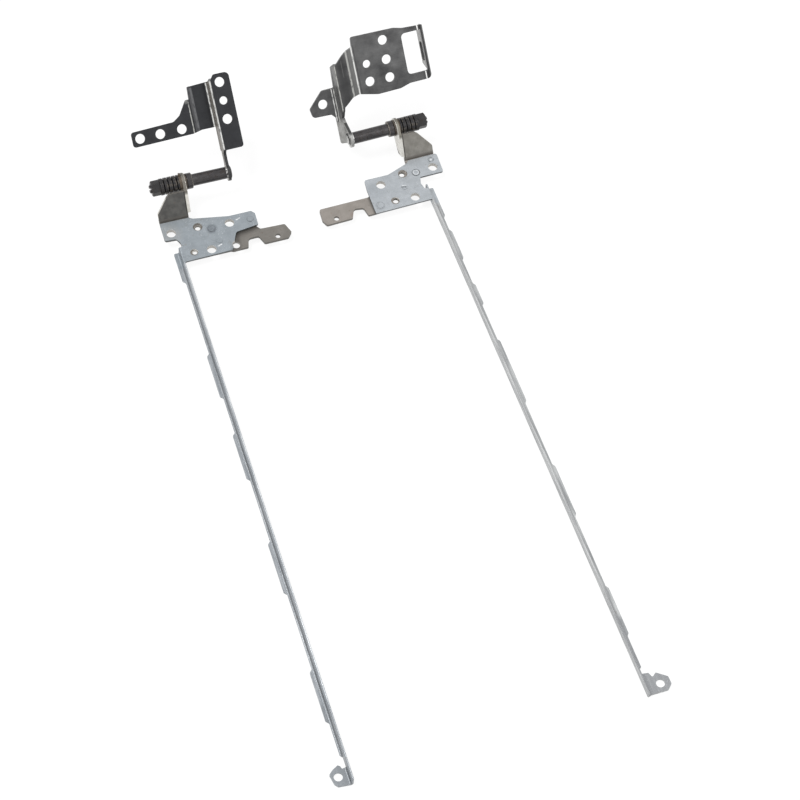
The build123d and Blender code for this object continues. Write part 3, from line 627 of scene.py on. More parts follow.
@dataclass(frozen=True)
class Nickel(Pierced):
    """A swivel bracket: warm grey sole and arm, a leaning wall painted darker as shade, an ear painted pale
    as lit, sheared edges and painted shade beside the lid plate.
    """

    hole_wall: Colour = lin(216, 213, 207)
    tear: float = SOLE_UNDER + 0.25
    tear_width: float = 0.35
    torn: Colour = lin(112, 108, 103)
    shear_strength: float = 0.85
    shaded_wall_dark: Colour = lin(92, 90, 87)
    shaded_wall_light: Colour = lin(116, 113, 109)
    # Pale ear tone: painted light on the ear's faces and lip, and its bare edges below the neck.
    ear: Colour = lin(232, 229, 221)
    ear_side: float = 1.0
    ear_middle: float = 6.6
    rim_dark: Colour = lin(112, 107, 99)
    rim_light: Colour = lin(146, 142, 135)
    shade_and_streaks: tuple[Tick, ...] = ()

    WALL_FOOT = (PLATE_TOP, PLATE_TOP + 0.8)
    WALL_FOLD = (17.0, 18.0)
    EAR_THICKNESS = (0.5, 0.62)
    EAR_NECK = (10.6, 12.0)
    GAP_OFF, GAP_WIDTH = 0.8, 0.5
    LIP_OFF, LIP_WIDTH = 0.5, 0.3
    CLOUDS = Noise(2.4, 4.0)
    BREAKS = Noise(0.8, 2.0, (0.4, 0.55))
    BLOTS = Noise(1.2, 3.0, (0.62, 0.74))
    SPOTS = Noise(0.28, 1.0, (0.66, 0.74))
    UPPER_EDGE = Film(1.0, lin(176, 172, 165), 0.4)
    FOLD_SHADE = Film(0.45, lin(78, 76, 73), 0.5)
    GAP_SHADE = Film(0.8, lin(52, 50, 47), 0.5)
    RUST = Film(0.3, lin(96, 74, 58), 0.55)
    SPOT = Film(0.8, lin(52, 48, 44), 0.6)

    def mark(self, coat: Coat, spot: Socket) -> None:
        """Lay the wall's painted shade, the painted light on the ear, the sheared edges, the ear's worn
        rims and the painted shade beside the lid plate.

        Args:
            coat: the coat so far.
            spot: the place in the lid's frame.
        """
        net = coat.net
        x, y, z = net.parts(spot)
        face_x, face_y, face_z = net.parts(net.facing(self.frame))
        cloud = self.CLOUDS.over(net, spot)
        wall = z.rising(*self.WALL_FOOT)
        # Painted shade: the leaning wall's front face is painted darker than the sole.
        shaded_wall = (-face_y).rising(0.5, 0.75) * wall
        coat.lay(shaded_wall, Film(1.0, net.mix(cloud.rising(0.3, 0.7), self.shaded_wall_dark, self.shaded_wall_light), 0.42))
        # Painted light: the faces towards either end of the shaft, chiefly the ear's, are painted pale.
        lit_side_faces = abs(face_x).rising(0.55, 0.85) * wall
        dulled = net.mix(cloud.rising(0.35, 0.75) * 0.35, self.ear, lin(165, 160, 152))
        coat.lay(lit_side_faces, Film(1.0, dulled, 0.45))
        upper = face_z.rising(0.2, 0.5) * face_y.rising(-0.2, 0.3) * wall
        broken = self.BREAKS.over(net, spot)
        coat.lay(upper * (0.35 + 0.4 * broken), self.UPPER_EDGE)
        coat.lay(z.line(PLATE_TOP, 1.3) * y.rising(*self.WALL_FOLD), self.FOLD_SHADE)
        sole = 1.0 - wall
        self.shear(coat, (x, y, z), abs(face_z).falling(*ON_EDGE) * sole)
        strip = abs(x - self.ear_middle).falling(*self.EAR_THICKNESS) * abs(face_x).falling(0.4, 0.7) * wall
        low = z.falling(*self.EAR_NECK)
        dulled = net.mix(cloud.rising(0.4, 0.7) * 0.4, self.ear, lin(190, 184, 172))
        coat.lay(strip * low, Film(1.0, dulled, 0.4))
        coat.lay(strip * (1.0 - low), Film(1.0, net.mix(cloud, self.rim_dark, self.rim_light), 0.45))
        gap = x.line(self.ear_middle - self.ear_side * self.GAP_OFF, self.GAP_WIDTH) * wall
        coat.lay(gap * face_z.falling(0.75, 0.9), self.GAP_SHADE)
        # Painted highlight: a broken pale line on the ear beside its lit face.
        lip = x.line(self.ear_middle + self.ear_side * self.LIP_OFF, self.LIP_WIDTH) * wall
        coat.lay(lip * (0.3 + 0.7 * broken), Film(1.0, self.ear, 0.35))
        # Painted shade on the sole along the lid plate's edge, with a brownish streak on the right bracket.
        for shade_and_streaks in self.shade_and_streaks:
            coat.lay(shade_and_streaks.mask(x, y) * sole, Film(shade_and_streaks.strength, shade_and_streaks.tone, 0.5))
        coat.lay(self.BLOTS.over(net, spot), self.RUST)
        coat.lay(self.SPOTS.over(net, spot) * lit_side_faces, self.SPOT)


@dataclass(frozen=True)
class BendLine:
    """A line along a bend: a bright one is cracked coat with a painted highlight along the fold, a dark one
    is painted shade in the bend.
    """

    x: float
    width: float
    strength: float
    start: float
    end: float
    level: float = 0.0
    reach: float = 9.0
    gaps: float = 0.5
    tone: Colour = lin(205, 205, 200)

    SOFT_END = 0.3
    GAP_BELOW, GAP_ABOVE = 0.14, 0.06
    FAINTEST = 0.25

    def mask(self, x: Field, out: Field, level: Field, breaks: Field) -> Field:
        """Find the line.

        Args:
            x: the place along the shaft.
            out: the way out from the axis.
            level: the level.
            breaks: the noise that breaks the line up.

        Returns:
            1 on the line, less in its gaps.
        """
        whole = breaks.rising(self.gaps - self.GAP_BELOW, self.gaps + self.GAP_ABOVE)
        near = abs(level - self.level).falling(self.reach - self.SOFT_END, self.reach + self.SOFT_END)
        line = x.line(self.x, self.width) * out.between(self.start, self.end, self.SOFT_END) * near
        return line * (self.FAINTEST + (1.0 - self.FAINTEST) * whole)


@dataclass(frozen=True)
class Blackened(Rolled):
    """A base bracket: a dark coat, broken bends with painted highlights and painted shade, web and ear
    faces painted lighter as lit, and a painted highlight ring round the shaft.
    """

    bends: tuple[BendLine, ...] = ()
    web_x: float = 22.3
    painted_web_light: Colour = lin(84, 80, 74)
    painted_web_light_strength: float = 0.5
    near_shade: float = 0.0
    painted_ear_light: Colour = lin(70, 70, 70)
    painted_ear_light_strength: float = 0.3
    leaf: Pair | None = None

    NEAR_PART = (13.0, 24.0)
    EAR_EDGE = (5.0, 7.4)
    TAIL_RING = (2.45, 0.5)
    CLOUDS = Noise(1.8, 4.0)
    BREAKS = Noise(0.55, 3.0, None, (1.0, 0.35, 1.0))
    SMEARS = Noise(2.2, 2.0, (0.56, 0.64))
    SHAFT_RING_HIGHLIGHT = Film(0.9, lin(226, 225, 222), 0.3)
    GREASE = Film(0.4, None, 0.24)

    def mark(self, coat: Coat, spot: Socket) -> None:
        """Lay the painted light on the web, the ear and the leaf, the sheared edges, the bend lines and the
        painted highlight ring round the shaft.

        Args:
            coat: the coat so far.
            spot: the place in the base bracket's frame.
        """
        net = coat.net
        x, out, level = net.parts(spot)
        face_x, face_out, _ = net.parts(net.facing(self.frame))
        cloud = self.CLOUDS.over(net, spot)
        breaks = self.BREAKS.over(net, spot)
        # Painted reflection: the web's face towards -x is painted lighter than the coat.
        web = (-face_x).rising(0.6, 0.9) * abs(x - self.web_x).falling(0.3, 0.8)
        coat.lay(web, Film(self.painted_web_light_strength, self.painted_web_light, 0.4))
        coat.lay(out.falling(*self.NEAR_PART), Film(self.near_shade, lin(44, 44, 45)))
        coat.lay(abs(face_out).rising(*ON_EDGE) * (0.3 + 0.4 * cloud), Film(1.0, self.cut, 0.5))
        # Painted light: the ear's faces are painted lighter, as lit.
        ear = out.falling(*self.EAR_EDGE) * (-face_x).rising(-0.5, 0.0) * face_out.falling(0.4, 0.8)
        dull = net.mix(cloud.rising(0.3, 0.75) * 0.5, self.painted_ear_light, lin(120, 118, 114))
        coat.lay(ear, Film(self.painted_ear_light_strength, dull, 0.45))
        # Painted light: the leaf's face towards -x is painted pale.
        if self.leaf:
            inner = (-face_x).rising(0.5, 0.85) * x.rising(*self.leaf)
            coat.lay(inner, Film(0.85, net.mix(cloud, lin(196, 196, 194), lin(150, 150, 149)), 0.4))
        for bend in self.bends:
            coat.lay(bend.mask(x, out, level, breaks), Film(bend.strength, bend.tone, 0.3))
        # Painted highlight: a broken bright ring round the shaft on the ear's face by the web.
        ring = out.hypot(level).line(*self.TAIL_RING) * abs(x - self.web_x).falling(0.6, 1.4)
        coat.lay(ring * breaks.rising(0.38, 0.5), self.SHAFT_RING_HIGHLIGHT)
        coat.lay(self.SMEARS.over(net, spot), self.GREASE)


@dataclass(frozen=True)
class Turned(Rolled):
    """A turned piece round the shaft's axis: lathe rings, a painted highlight on the collar's rim, worn
    spring rims and smears of grease.
    """

    rim: float = 0.0
    worn_radius: float = 0.0
    seat: float = 0.0
    tail: float = 0.0
    grease_strength: float = 0.35

    RIM_WIDTH = 0.35
    SEAT_WIDTH = 0.55
    WORN_REACH = (0.14, 0.04)
    TAIL_START = (-0.1, 0.05)
    RING_RISE = 0.008
    PEEN = (1.9, 1.1)
    RINGS = Noise(0.16, 2.0, None, (1.0, 0.02, 0.02))
    SMEARS = Noise(1.1, 3.0)
    DUST = Noise(0.3, 1.0, (0.64, 0.72))
    RIM_TONE = lin(150, 144, 134)
    GREASE_TONE = lin(46, 36, 26)
    SPALL = Film(0.5, lin(92, 74, 60), 0.5)
    PEEN_SHADE = Film(1.0, lin(14, 14, 15), 0.5, -0.05)

    def mark(self, coat: Coat, spot: Socket) -> None:
        """Lay the lathe rings, the collar rim's painted highlight, the worn spring rims, the grease and, on
        a shaft, the peened tail.

        Args:
            coat: the coat so far.
            spot: the place in the base bracket's frame.
        """
        net = coat.net
        x, out, level = net.parts(spot)
        rings = self.RINGS.over(net, spot)
        coat.height = coat.height + (rings - 0.5) * self.RING_RISE
        coat.lay(rings.rising(0.5, 0.75), Film(0.25, self.light, 0.3))
        smear = self.SMEARS.over(net, spot)
        if self.rim:
            # Painted highlight on the collar's rim, broken by the smears.
            rim_highlight = 0.35 + 0.5 * smear.rising(0.4, 0.6)
            coat.lay(x.line(self.rim, self.RIM_WIDTH) * rim_highlight, Film(1.0, self.RIM_TONE, 0.35))
        coat.lay(smear.rising(0.52, 0.66), Film(self.grease_strength, self.GREASE_TONE, 0.22))
        coat.lay(self.DUST.over(net, spot), self.SPALL)
        far = out.hypot(level)
        if self.worn_radius:
            worn = far.rising(*(self.worn_radius - inside for inside in self.WORN_REACH))
            coat.lay(worn * smear.rising(0.5, 0.62), Film(0.22, self.RIM_TONE, 0.35))
        if self.seat:
            coat.lay(x.line(self.seat, self.SEAT_WIDTH) * smear.rising(0.42, 0.54), Film(1.0, PALE, 0.3))
        if self.tail:
            along = x * math.copysign(1.0, self.tail)
            end = along.rising(*(abs(self.tail) + past for past in self.TAIL_START))
            bare = net.mix(smear.rising(0.35, 0.6), lin(232, 232, 229), lin(150, 150, 148))
            coat.lay(end, Film(0.9, bare, 0.35))
            coat.lay(end * (far.line(*self.PEEN) * (out + level).rising(-0.8, 0.4)), self.PEEN_SHADE)


def dress(node: bpy.types.Object, material: bpy.types.Material) -> None:
    """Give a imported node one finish."""
    node.data.materials.clear()
    node.data.materials.append(material)


def stand(name: str, data: bpy.types.ID) -> bpy.types.Object:
    """Add an object that holds a mesh, a lamp or a camera to the scene.

    Args:
        name: the object's name.
        data: what it holds.

    Returns:
        The object.
    """
    made = bpy.data.objects.new(name, data)
    bpy.context.scene.collection.objects.link(made)
    return made


class RingStacks:
    """Geometry Nodes that stand a stack of equal round ridges on each point of a mesh."""

    INPUTS = {
        "Geometry": ("NodeSocketGeometry", None),
        "Ring radius": ("NodeSocketFloat", 1.0 * MM),
        "Wire radius": ("NodeSocketFloat", 0.1 * MM),
        "Pitch": ("NodeSocketFloat", 0.4 * MM),
        "Turns": ("NodeSocketInt", 3),
        "Metal": ("NodeSocketMaterial", None),
    }
    RING_SIDES = 40
    WIRE_SIDES = 8

    def __init__(self) -> None:
        """Build the tree with its named inputs."""
        self.tree = bpy.data.node_groups.new("ring_stacks", "GeometryNodeTree")
        self.keys: dict[str, str] = {}
        for name, (kind, default) in self.INPUTS.items():
            socket = self.tree.interface.new_socket(name, in_out="INPUT", socket_type=kind)
            if default is not None:
                socket.default_value = default
            self.keys[name] = socket.identifier
        self.tree.interface.new_socket("Geometry", in_out="OUTPUT", socket_type="NodeSocketGeometry")
        self.grow()

    def grow(self) -> None:
        """Link the ring, its stack and the points together."""
        node = Net(self.tree).node
        given = node("NodeGroupInput").outputs
        circle, wire = (
            node("GeometryNodeCurvePrimitiveCircle", None, {"Resolution": sides, "Radius": given[radius]})
            for sides, radius in ((self.RING_SIDES, "Ring radius"), (self.WIRE_SIDES, "Wire radius"))
        )
        values = {"Curve": circle.outputs[0], "Profile Curve": wire.outputs[0]}
        ring = node("GeometryNodeCurveToMesh", None, values)
        step = node("ShaderNodeCombineXYZ", None, {"Z": given["Pitch"]})
        line = node("GeometryNodeMeshLine", None, {"Count": given["Turns"], "Offset": step.outputs[0]})
        values = {"Points": line.outputs[0], "Instance": ring.outputs[0]}
        stack = node("GeometryNodeInstanceOnPoints", None, values)
        turn = node("GeometryNodeInputNamedAttribute", {"data_type": "FLOAT_VECTOR"}, {"Name": "turn"})
        values = {
            "Points": given["Geometry"],
            "Instance": stack.outputs[0],
            "Rotation": turn.outputs["Attribute"],
        }
        stacks = node("GeometryNodeInstanceOnPoints", None, values)
        real = node("GeometryNodeRealizeInstances", None, {"Geometry": stacks.outputs[0]})
        values = {"Geometry": real.outputs[0], "Material": given["Metal"]}
        metal = node("GeometryNodeSetMaterial", None, values)
        node("NodeGroupOutput", None, {0: metal.outputs[0]})

    def make(
        self,
        name: str,
        places: list[tuple[Vector, Euler]],
        sizes: dict[str, float | int],
        material: bpy.types.Material,
    ) -> bpy.types.Object:
        """Make one piece of plain mesh with a stack at each place.

        Args:
            name: the piece's name.
            places: where each stack starts, in metres, and how it is turned.
            sizes: the tree's inputs, in metres.
            material: the ridges' finish.

        Returns:
            The piece.
        """
        seed = bpy.data.meshes.new(f"{name}_points")
        seed.from_pydata([place for place, _ in places], [], [])
        turns = seed.attributes.new("turn", "FLOAT_VECTOR", "POINT")
        for index, (_, turn) in enumerate(places):
            turns.data[index].vector = turn
        carrier = stand(f"{name}_points", seed)
        modifier = carrier.modifiers.new("stacks", "NODES")
        modifier.node_group = self.tree
        for key, value in sizes.items():
            modifier[self.keys[key]] = value
        modifier[self.keys["Metal"]] = material
        found = carrier.evaluated_get(bpy.context.evaluated_depsgraph_get())
        mesh = bpy.data.meshes.new_from_object(found)
        mesh.name = name
        carrier.modifiers.remove(modifier)
        bpy.data.objects.remove(carrier)
        for polygon in mesh.polygons:
            polygon.use_smooth = True
        return stand(name, mesh)


@dataclass
class LidRails:
    """The two lid plates with their rails, their rivets and the dimple pressed in the right one."""

    hinges: dict[Side, Hinge]
    dimple: Pair = (5.3, 15.9)
    dimple_radius: float = 0.75
    dimple_wire: float = 0.12

    def finish(self, name: str, side: Side) -> ZincPlate:
        """Choose the finish of one side's sheet or rivets.

        Args:
            name: the first part of the material's name.
            side: which hinge.

        Returns:
            The finish.
        """
        hinge = self.hinges[side]
        if side is Side.LEFT:
            rivet, arm_rivet = (12.3, 11.0), (26.2, 11.5)
            return ZincPlate(
                f"{name}_left", hinge.lid(), lin(132, 139, 144), lin(158, 165, 171),
                cut=lin(98, 100, 101), holes=hinge.holes(),
                marks=(
                    Tick((21.5, 12.4), (22.8, 12.9), 0.5),
                    Tick((12.6, 3.4), (13.9, 3.9), 0.5),
                    Tick((16.4, 1.0), (21.0, 2.0), 0.4, lin(96, 98, 102), 0.5),
                    Disc(rivet, 2.5, lin(106, 112, 118), 0.75),
                    Ring(rivet, 1.3, 0.5, lin(96, 100, 106), 0.35),
                    Ring(arm_rivet, 1.1, 0.35, lin(116, 121, 126), 0.8),
                    Disc((-2.4, 12.4), 5.5, lin(158, 158, 154), 0.4),
                ),
            )
        rivet, arm_rivet = (-1.6, 12.2), (-18.2, 2.6)
        return ZincPlate(
            f"{name}_right", hinge.lid(), lin(158, 163, 167), lin(186, 191, 196),
            cut=lin(86, 88, 90), foot_shade=lin(140, 142, 145), holes=hinge.holes(), outward=1.0,
            rim_highlight_strength=0.9, rail_dark=lin(148, 150, 152), rail_light=lin(196, 198, 198),
            marks=(
                Ring(rivet, 1.35, 0.4, lin(70, 74, 78), 0.9),
                Ring(rivet, 0.95, 0.4, lin(232, 235, 238), 0.9),
                # Painted shadow under a rivet's rim.
                Tick((-8.3, 7.7), (-7.0, 7.3), 0.5, lin(62, 66, 70)),
                Tick((-8.1, 8.3), (-6.8, 8.0), 0.4, lin(232, 235, 238)),
                Ring(arm_rivet, 1.5, 0.35, lin(112, 116, 120), 0.6),
                Ring(self.dimple, 0.95, 0.3, lin(84, 88, 92), 0.9),
                Disc(self.dimple, 0.5, lin(238, 240, 242), 0.9),
                Disc((-18.0, 9.0), 4.5, lin(142, 148, 154), 0.35),
            ),
        )

    def build(self, nodes: dict[str, bpy.types.Object], rings: RingStacks) -> None:
        """Dress the rails and rivets, and press the small dimple.

        Args:
            nodes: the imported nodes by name.
            rings: the tree that makes round ridges.
        """
        made = {side: self.finish("zinc", side).build() for side in Side}
        for side in Side:
            dress(nodes[f"{side.value}_rail"], made[side])
            dress(nodes[f"{side.value}_rivets"], self.finish("rivets", side).build())
        lid = self.hinges[Side.RIGHT].lid()
        place = lid.at(*self.dimple, PLATE_TOP)
        sizes = {"Ring radius": self.dimple_radius * MM, "Wire radius": self.dimple_wire * MM, "Turns": 1}
        dimple = rings.make("right_plate_dimple", [(place, lid.turn)], sizes, made[Side.RIGHT])
        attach(dimple, Rides.RAILS.value)
        LOG.info("lid plates, rails and rivets dressed, one dimple pressed")


@dataclass
class SwivelBrackets:
    """The sheets under the lid plates with their walls and ears, and the threads tapped in them."""

    hinges: dict[Side, Hinge]
    tap_radius: float = 1.1
    tap_wire: float = 0.13
    tap_pitch: float = 0.35
    tap_turns: int = 3
    first_turn: float = SOLE_UNDER + 0.15

    def finishes(self) -> dict[Side, Nickel]:
        """Choose both brackets' finishes.

        Returns:
            Each side's finish.
        """
        left, right = self.hinges[Side.LEFT], self.hinges[Side.RIGHT]
        return {
            Side.LEFT: Nickel(
                "nickel_left", left.lid(), lin(106, 103, 98), lin(134, 130, 125),
                cut=lin(96, 94, 90), mottle=0.4, holes=left.holes(),
                shaded_wall_dark=lin(84, 83, 81), shaded_wall_light=lin(104, 103, 100),
                rim_dark=lin(88, 84, 77), rim_light=lin(136, 132, 125),
                shade_and_streaks=(
                    # Painted shade on the sole beside the lid plate's edge.
                    Tick((19.6, 7.8), (29.0, 9.5), 4.4, lin(56, 54, 51), 0.75),
                    Tick((19.6, 7.6), (18.6, 2.0), 3.4, lin(56, 54, 51), 0.6),
                ),
            ),
            Side.RIGHT: Nickel(
                "nickel_right", right.lid(), lin(134, 128, 122), lin(160, 154, 148),
                cut=lin(104, 101, 97), mottle=0.45, holes=right.holes(),
                shaded_wall_dark=lin(130, 127, 121), shaded_wall_light=lin(150, 147, 141),
                ear=lin(226, 224, 218), ear_side=-1.0, ear_middle=-3.9,
                rim_dark=lin(92, 88, 80), rim_light=lin(146, 143, 134),
                shade_and_streaks=(
                    # Painted shade beside the lid plate's edge, and a brownish streak.
                    Tick((-20.2, 8.0), (-19.9, -1.5), 2.4, lin(70, 68, 65), 0.6),
                    Tick((-28.0, 2.2), (-26.0, 2.4), 2.6, lin(128, 104, 92), 0.35),
                ),
            ),
        }

    def build(self, nodes: dict[str, bpy.types.Object], rings: RingStacks) -> None:
        """Dress the brackets and cut the threads.

        Args:
            nodes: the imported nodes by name.
            rings: the tree that makes round ridges.
        """
        made = {side: finish.build() for side, finish in self.finishes().items()}
        places = []
        for side in Side:
            dress(nodes[f"{side.value}_swivel_bracket"], made[side])
            lid = self.hinges[side].lid()
            places += [(lid.at(x, y, self.first_turn), lid.turn) for x, y in TAPPED_HOLES[side]]
        sizes = {
            "Ring radius": self.tap_radius * MM,
            "Wire radius": self.tap_wire * MM,
            "Pitch": self.tap_pitch * MM,
            "Turns": self.tap_turns,
        }
        threads = rings.make("tapped_threads", places, sizes, made[Side.LEFT])
        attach(threads, Rides.RAILS.value)
        LOG.info("swivel brackets dressed, %d holes tapped", len(places))


@dataclass
class BaseBrackets:
    """The two dark brackets that hold the computer's base."""

    hinges: dict[Side, Hinge]

    def left_finish(self) -> Blackened:
        """Return the left bracket's near-black coat."""
        return Blackened(
            "left_black", self.hinges[Side.LEFT].base(), lin(31, 32, 35), lin(50, 51, 54),
            cut=lin(58, 58, 58), metallic=0.35, specular=0.35, scratch=0.12,
            painted_web_light=lin(116, 111, 103), painted_web_light_strength=0.9,
            # Bright lines: cracked coat with painted highlights along the folds; dark lines: painted shade
            # in the folds.
            bends=(
                BendLine(21.8, 0.6, 0.95, 16.0, 31.6, -1.3, 1.0, 0.45, PALE),
                BendLine(22.6, 0.6, 0.9, 8.0, 32.0, 3.4, 1.2, 0.46, PALE),
                BendLine(14.75, 0.4, 0.9, 15.2, 26.4, -3.4, 0.9, 0.45),
                BendLine(16.3, 0.9, 0.4, 15.8, 31.0, -1.7, 0.9, 0.42, lin(150, 150, 152)),
                BendLine(15.7, 0.9, 0.35, 15.8, 31.2, -2.2, 0.9, 0.4, lin(120, 120, 122)),
                BendLine(14.2, 1.6, 0.5, 25.9, 27.2, -3.2, 1.2, 0.5),
                BendLine(20.9, 1.0, 0.35, 15.8, 31.4, -1.5, 1.2, 0.3, lin(16, 16, 18)),
            ),
        )

    def right_finish(self) -> Blackened:
        """Return the right bracket's thinner, mottled coat."""
        return Blackened(
            "right_black", self.hinges[Side.RIGHT].base(), lin(60, 60, 61), lin(108, 108, 108),
            cut=lin(74, 74, 73), roughness=0.34, mottle=1.0, mottle_size=4.5,
            web_x=-21.3, painted_web_light=lin(140, 140, 139), painted_web_light_strength=0.8, near_shade=0.3,
            painted_ear_light=lin(172, 172, 170), painted_ear_light_strength=0.95, leaf=(11.0, 11.6),
            # Bright lines: cracked coat with painted highlights along the folds; dark lines: painted shade
            # in the folds.
            bends=(
                BendLine(-18.7, 4.4, 0.7, 8.0, 32.5, -1.0, 1.2, 0.2, lin(48, 48, 49)),
                BendLine(-15.3, 1.7, 0.5, 14.0, 32.0, 0.4, 1.2, 0.2, lin(136, 136, 134)),
                BendLine(-14.45, 0.6, 0.95, 14.0, 32.5, 1.2, 0.9, 0.43, PALE),
                BendLine(-16.25, 0.7, 0.85, 13.0, 30.5, -0.4, 0.9, 0.42, lin(196, 196, 192)),
                BendLine(-13.7, 0.5, 0.4, 14.0, 32.0, 1.4, 1.2, 0.3, lin(44, 44, 45)),
                BendLine(-20.95, 0.4, 0.85, 9.6, 26.0, -1.0, 0.9, 0.46),
                BendLine(-18.5, 0.3, 0.3, 21.5, 27.5, -0.5, 0.4, 0.46, lin(140, 140, 138)),
                BendLine(-22.6, 1.4, 0.6, 6.0, 18.0, -4.2, 1.2, 0.3, lin(40, 40, 41)),
                BendLine(-22.95, 0.45, 0.9, 6.4, 18.0, -4.3, 0.9, 0.5, PALE),
                BendLine(-22.2, 0.5, 0.85, 6.0, 18.0, -4.0, 0.9, 0.5, lin(200, 200, 196)),
                BendLine(11.5, 1.7, 0.85, 13.0, 34.5, 1.2, 1.8, 0.3, lin(34, 34, 35)),
                BendLine(10.3, 0.5, 0.95, 13.0, 17.3, 1.4, 0.9, 0.3, PALE),
                BendLine(10.3, 0.5, 0.95, 31.8, 35.0, 1.4, 0.9, 0.3, PALE),
            ),
        )

    def build(self, nodes: dict[str, bpy.types.Object]) -> None:
        """Dress both brackets.

        Args:
            nodes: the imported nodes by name.
        """
        dress(nodes["left_base_bracket"], self.left_finish().build())
        dress(nodes["right_base_bracket"], self.right_finish().build())
        LOG.info("base brackets dressed")


@dataclass(frozen=True)
class ShaftPlaces:
    """Where a shaft's collar rim, riveted seat and tail lie along it, 0 where they aren't marked."""

    rim: float
    seat: float
    tail: float


SHAFT_PLACES = {Side.LEFT: ShaftPlaces(9.7, 22.1, 0.0), Side.RIGHT: ShaftPlaces(-7.0, -20.1, -21.3)}


@dataclass
class FrictionStacks:
    """The shafts with their washers, disc springs and nuts, and the lug on the left outer washer."""

    hinges: dict[Side, Hinge]
    lug_x: Pair = (5.35, 6.0)
    lug_angle: float = 60.0
    lug_half: tuple[Pair, ...] = ((0.8, 2.5), (0.72, 3.3), (0.5, 3.55))
    lug_edge: float = 0.07
    lug_edge_steps: int = 2

    def finishes(self, side: Side) -> dict[str, Turned]:
        """Choose the finishes of one stack.

        Args:
            side: which hinge.

        Returns:
            Each finish by a part of its nodes' names.
        """
        name, base, places = side.value, self.hinges[side].base(), SHAFT_PLACES[side]
        return {
            "shaft": Turned(
                f"{name}_shaft_steel", base, lin(50, 49, 50), lin(88, 86, 87),
                roughness=0.28, metallic=0.8, grain=0.8, edge_radius=0.08,
                rim=places.rim, seat=places.seat, tail=places.tail,
            ),
            "spring": Turned(
                f"{name}_spring_steel", base, lin(32, 32, 34), lin(64, 63, 64),
                roughness=0.33, metallic=0.65, edge_radius=0.07, grease_strength=0.5, worn_radius=2.95,
            ),
            "pressure_washer": Turned(
                f"{name}_pressure_steel", base, lin(34, 34, 36), lin(64, 63, 64),
                roughness=0.36, metallic=0.5,
            ),
            "nut": Turned(
                f"{name}_nut_steel", base, lin(34, 34, 35), lin(60, 59, 60),
                roughness=0.36, metallic=0.5, edge_radius=0.12,
            ),
            "outer_washer": Turned(
                f"{name}_outer_bronze", base, lin(62, 53, 44), lin(104, 94, 82),
                roughness=0.42, metallic=0.45, speck=0.7,
            ),
            "inner_washer": Turned(
                f"{name}_inner_steel", base, lin(58, 52, 47), lin(96, 88, 80),
                roughness=0.42, metallic=0.45, speck=0.5,
            ),
        }

    def build(self, nodes: dict[str, bpy.types.Object]) -> None:
        """Dress both stacks, and put the keying lug on the left outer washer.

        Args:
            nodes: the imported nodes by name.
        """
        for side in Side:
            made = {part: finish.build() for part, finish in self.finishes(side).items()}
            for name, node in nodes.items():
                for part, material in made.items():
                    if name.startswith(f"{side.value}_") and part in name:
                        dress(node, material)
            LOG.info("%s friction stack dressed", side.value)
            if side is Side.LEFT:
                self.keying_lug(made["outer_washer"])

    def keying_lug(self, material: bpy.types.Material) -> None:
        """Make the small lug of the left outer washer, which hooks over the ear.

        Args:
            material: the washer's finish.
        """
        hinge = self.hinges[Side.LEFT]
        outline = [(-wide, far) for wide, far in self.lug_half] + list(reversed(self.lug_half))
        angle = math.radians(self.lug_angle)
        across = Vector((0, -math.sin(angle), math.cos(angle)))
        out = Vector((0, math.cos(angle), math.sin(angle)))
        shape = bmesh.new()
        faces = []
        for x in self.lug_x:
            points = [Vector((x, 0, 0)) + across * wide + out * far for wide, far in outline]
            points = [hinge.pivot + hinge.lid().turn.to_matrix() @ point * MM for point in points]
            faces.append([shape.verts.new(point) for point in points])
        near, far = faces
        shape.faces.new(near)
        shape.faces.new(list(reversed(far)))
        for index in range(len(outline)):
            after = (index + 1) % len(outline)
            shape.faces.new((near[after], near[index], far[index], far[after]))
        bmesh.ops.recalc_face_normals(shape, faces=shape.faces)
        edge, steps = self.lug_edge * MM, self.lug_edge_steps
        bmesh.ops.bevel(shape, geom=list(shape.edges), offset=edge, segments=steps, affect="EDGES")
        mesh = bpy.data.meshes.new("left_washer_lug")
        shape.to_mesh(mesh)
        shape.free()
        mesh.materials.append(material)
        lug = stand("left_washer_lug", mesh)
        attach(lug, Rides.RAILS.value)
        LOG.info("keying lug made")


@dataclass
class PhotoCamera:
    """The camera at the photograph's viewing angle, with its place in metres."""

    place: Triple = (-0.17742, -0.44217, 0.78838)
    forward: Triple = (0.1981, 0.4801, -0.8545)
    up: Triple = (0.23, 0.8247, 0.5167)
    focal_pixels: float = 2755.4
    frame_pixels: float = 800.0
    sensor: float = 36.0
    near_clip: float = 0.01

    def build(self) -> None:
        """Create the camera and make it the scene's."""
        data = bpy.data.cameras.new("photo_camera")
        data.sensor_width = self.sensor
        data.lens = self.focal_pixels / self.frame_pixels * self.sensor
        data.clip_start = self.near_clip
        camera = stand("photo_camera", data)
        back = -Vector(self.forward).normalized()
        right = Vector(self.up).cross(back).normalized()
        turn = Matrix((right, back.cross(right), back)).transposed().to_4x4()
        camera.matrix_world = Matrix.Translation(self.place) @ turn
        bpy.context.scene.camera = camera
        LOG.info("camera set")


@dataclass(frozen=True)
class Lamp:
    """A soft square lamp that looks at the object: its place and side in metres, its power in watts."""

    name: str
    place: Triple
    side: float
    power: float

    def hang(self) -> None:
        """Add the lamp to the scene."""
        data = bpy.data.lights.new(self.name, "AREA")
        data.size = self.side
        data.energy = self.power
        lamp = stand(self.name, data)
        lamp.location = self.place
        lamp.rotation_euler = (-Vector(self.place)).to_track_quat("-Z", "Y").to_euler()


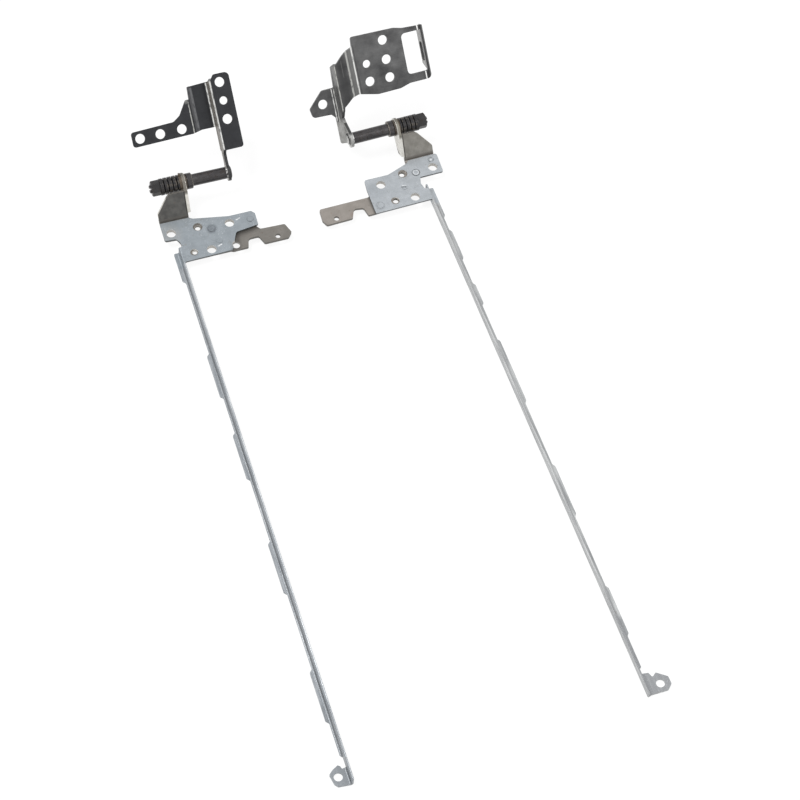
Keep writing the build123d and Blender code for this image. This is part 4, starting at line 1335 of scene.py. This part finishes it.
@dataclass
class Studio:
    """A pale floor, a white surround and soft lamps."""

    floor_size: float = 4.0
    floor_level: float = -0.0002
    floor_colour: Colour = (0.82, 0.82, 0.82)
    seen_colour: Colour = (0.16, 0.16, 0.16)
    seen_glow: float = 0.89
    plain_light: float = 0.46
    lamps: tuple[Lamp, ...] = (
        Lamp("key", (-0.45, 0.15, 1.0), 0.45, 7.0),
        Lamp("fill", (0.7, -0.3, 0.8), 0.8, 3.5),
    )

    def build(self) -> None:
        """Make the floor, the world and the lamps."""
        bpy.context.scene.view_settings.view_transform = "Standard"
        self.floor()
        self.world()
        for lamp in self.lamps:
            lamp.hang()
        LOG.info("studio lit")

    def floor(self) -> None:
        """Make the floor, a wide sheet that shows white and keeps the object's shadow."""
        half = self.floor_size / 2
        mesh = bpy.data.meshes.new("floor")
        corners = [(-half, -half), (half, -half), (half, half), (-half, half)]
        mesh.from_pydata([(x, y, self.floor_level) for x, y in corners], [], [(0, 1, 2, 3)])
        floor = stand("floor", mesh)
        material = bpy.data.materials.new("floor")
        net = Net.on(material)
        plain = net.node("ShaderNodeBsdfDiffuse", None, {"Color": self.floor_colour})
        dim = net.node("ShaderNodeBsdfDiffuse", None, {"Color": self.seen_colour})
        glow = net.node("ShaderNodeEmission", None, {"Color": WHITE, "Strength": self.seen_glow})
        seen = net.node("ShaderNodeAddShader", None, {0: dim.outputs[0], 1: glow.outputs[0]})
        values = {0: self.seen_by(net), 1: plain.outputs[0], 2: seen.outputs[0]}
        both = net.node("ShaderNodeMixShader", None, values)
        net.node("ShaderNodeOutputMaterial", None, {"Surface": both.outputs[0]})
        mesh.materials.append(material)

    @staticmethod
    def seen_by(net: Net) -> Field:
        """Find the rays that show a surround as it is: seen, mirrored or let through.

        Args:
            net: the surround's net.

        Returns:
            1 for those rays.
        """
        path = net.node("ShaderNodeLightPath")
        kinds = ("Camera", "Glossy", "Transmission")
        eye, gloss, through = (Field(net, path.outputs[f"Is {kind} Ray"]) for kind in kinds)
        return eye.larger(gloss).larger(through)

    def world(self) -> None:
        """Make a surround that shows white and lights the object plainly."""
        world = bpy.data.worlds.new("surround")
        bpy.context.scene.world = world
        net = Net.on(world)
        strength = self.plain_light + self.seen_by(net) * (1.0 - self.plain_light)
        shader = net.node("ShaderNodeBackground", None, {"Color": WHITE, "Strength": strength})
        net.node("ShaderNodeOutputWorld", None, {"Surface": shader.outputs[0]})


def main() -> None:
    """Load the model, dress it and set up the studio."""
    logging.basicConfig(level=logging.INFO, format="%(name)s: %(message)s")
    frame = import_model()
    joints = frame["record"]["behaviour"]["joints"]
    hinges = {side: Hinge.of(side, joints) for side in Side}
    nodes = frame["nodes"]
    rings = RingStacks()
    LidRails(hinges).build(nodes, rings)
    SwivelBrackets(hinges).build(nodes, rings)
    BaseBrackets(hinges).build(nodes)
    FrictionStacks(hinges).build(nodes)
    PhotoCamera().build()
    Studio().build()


if __name__ == "__main__":
    main()
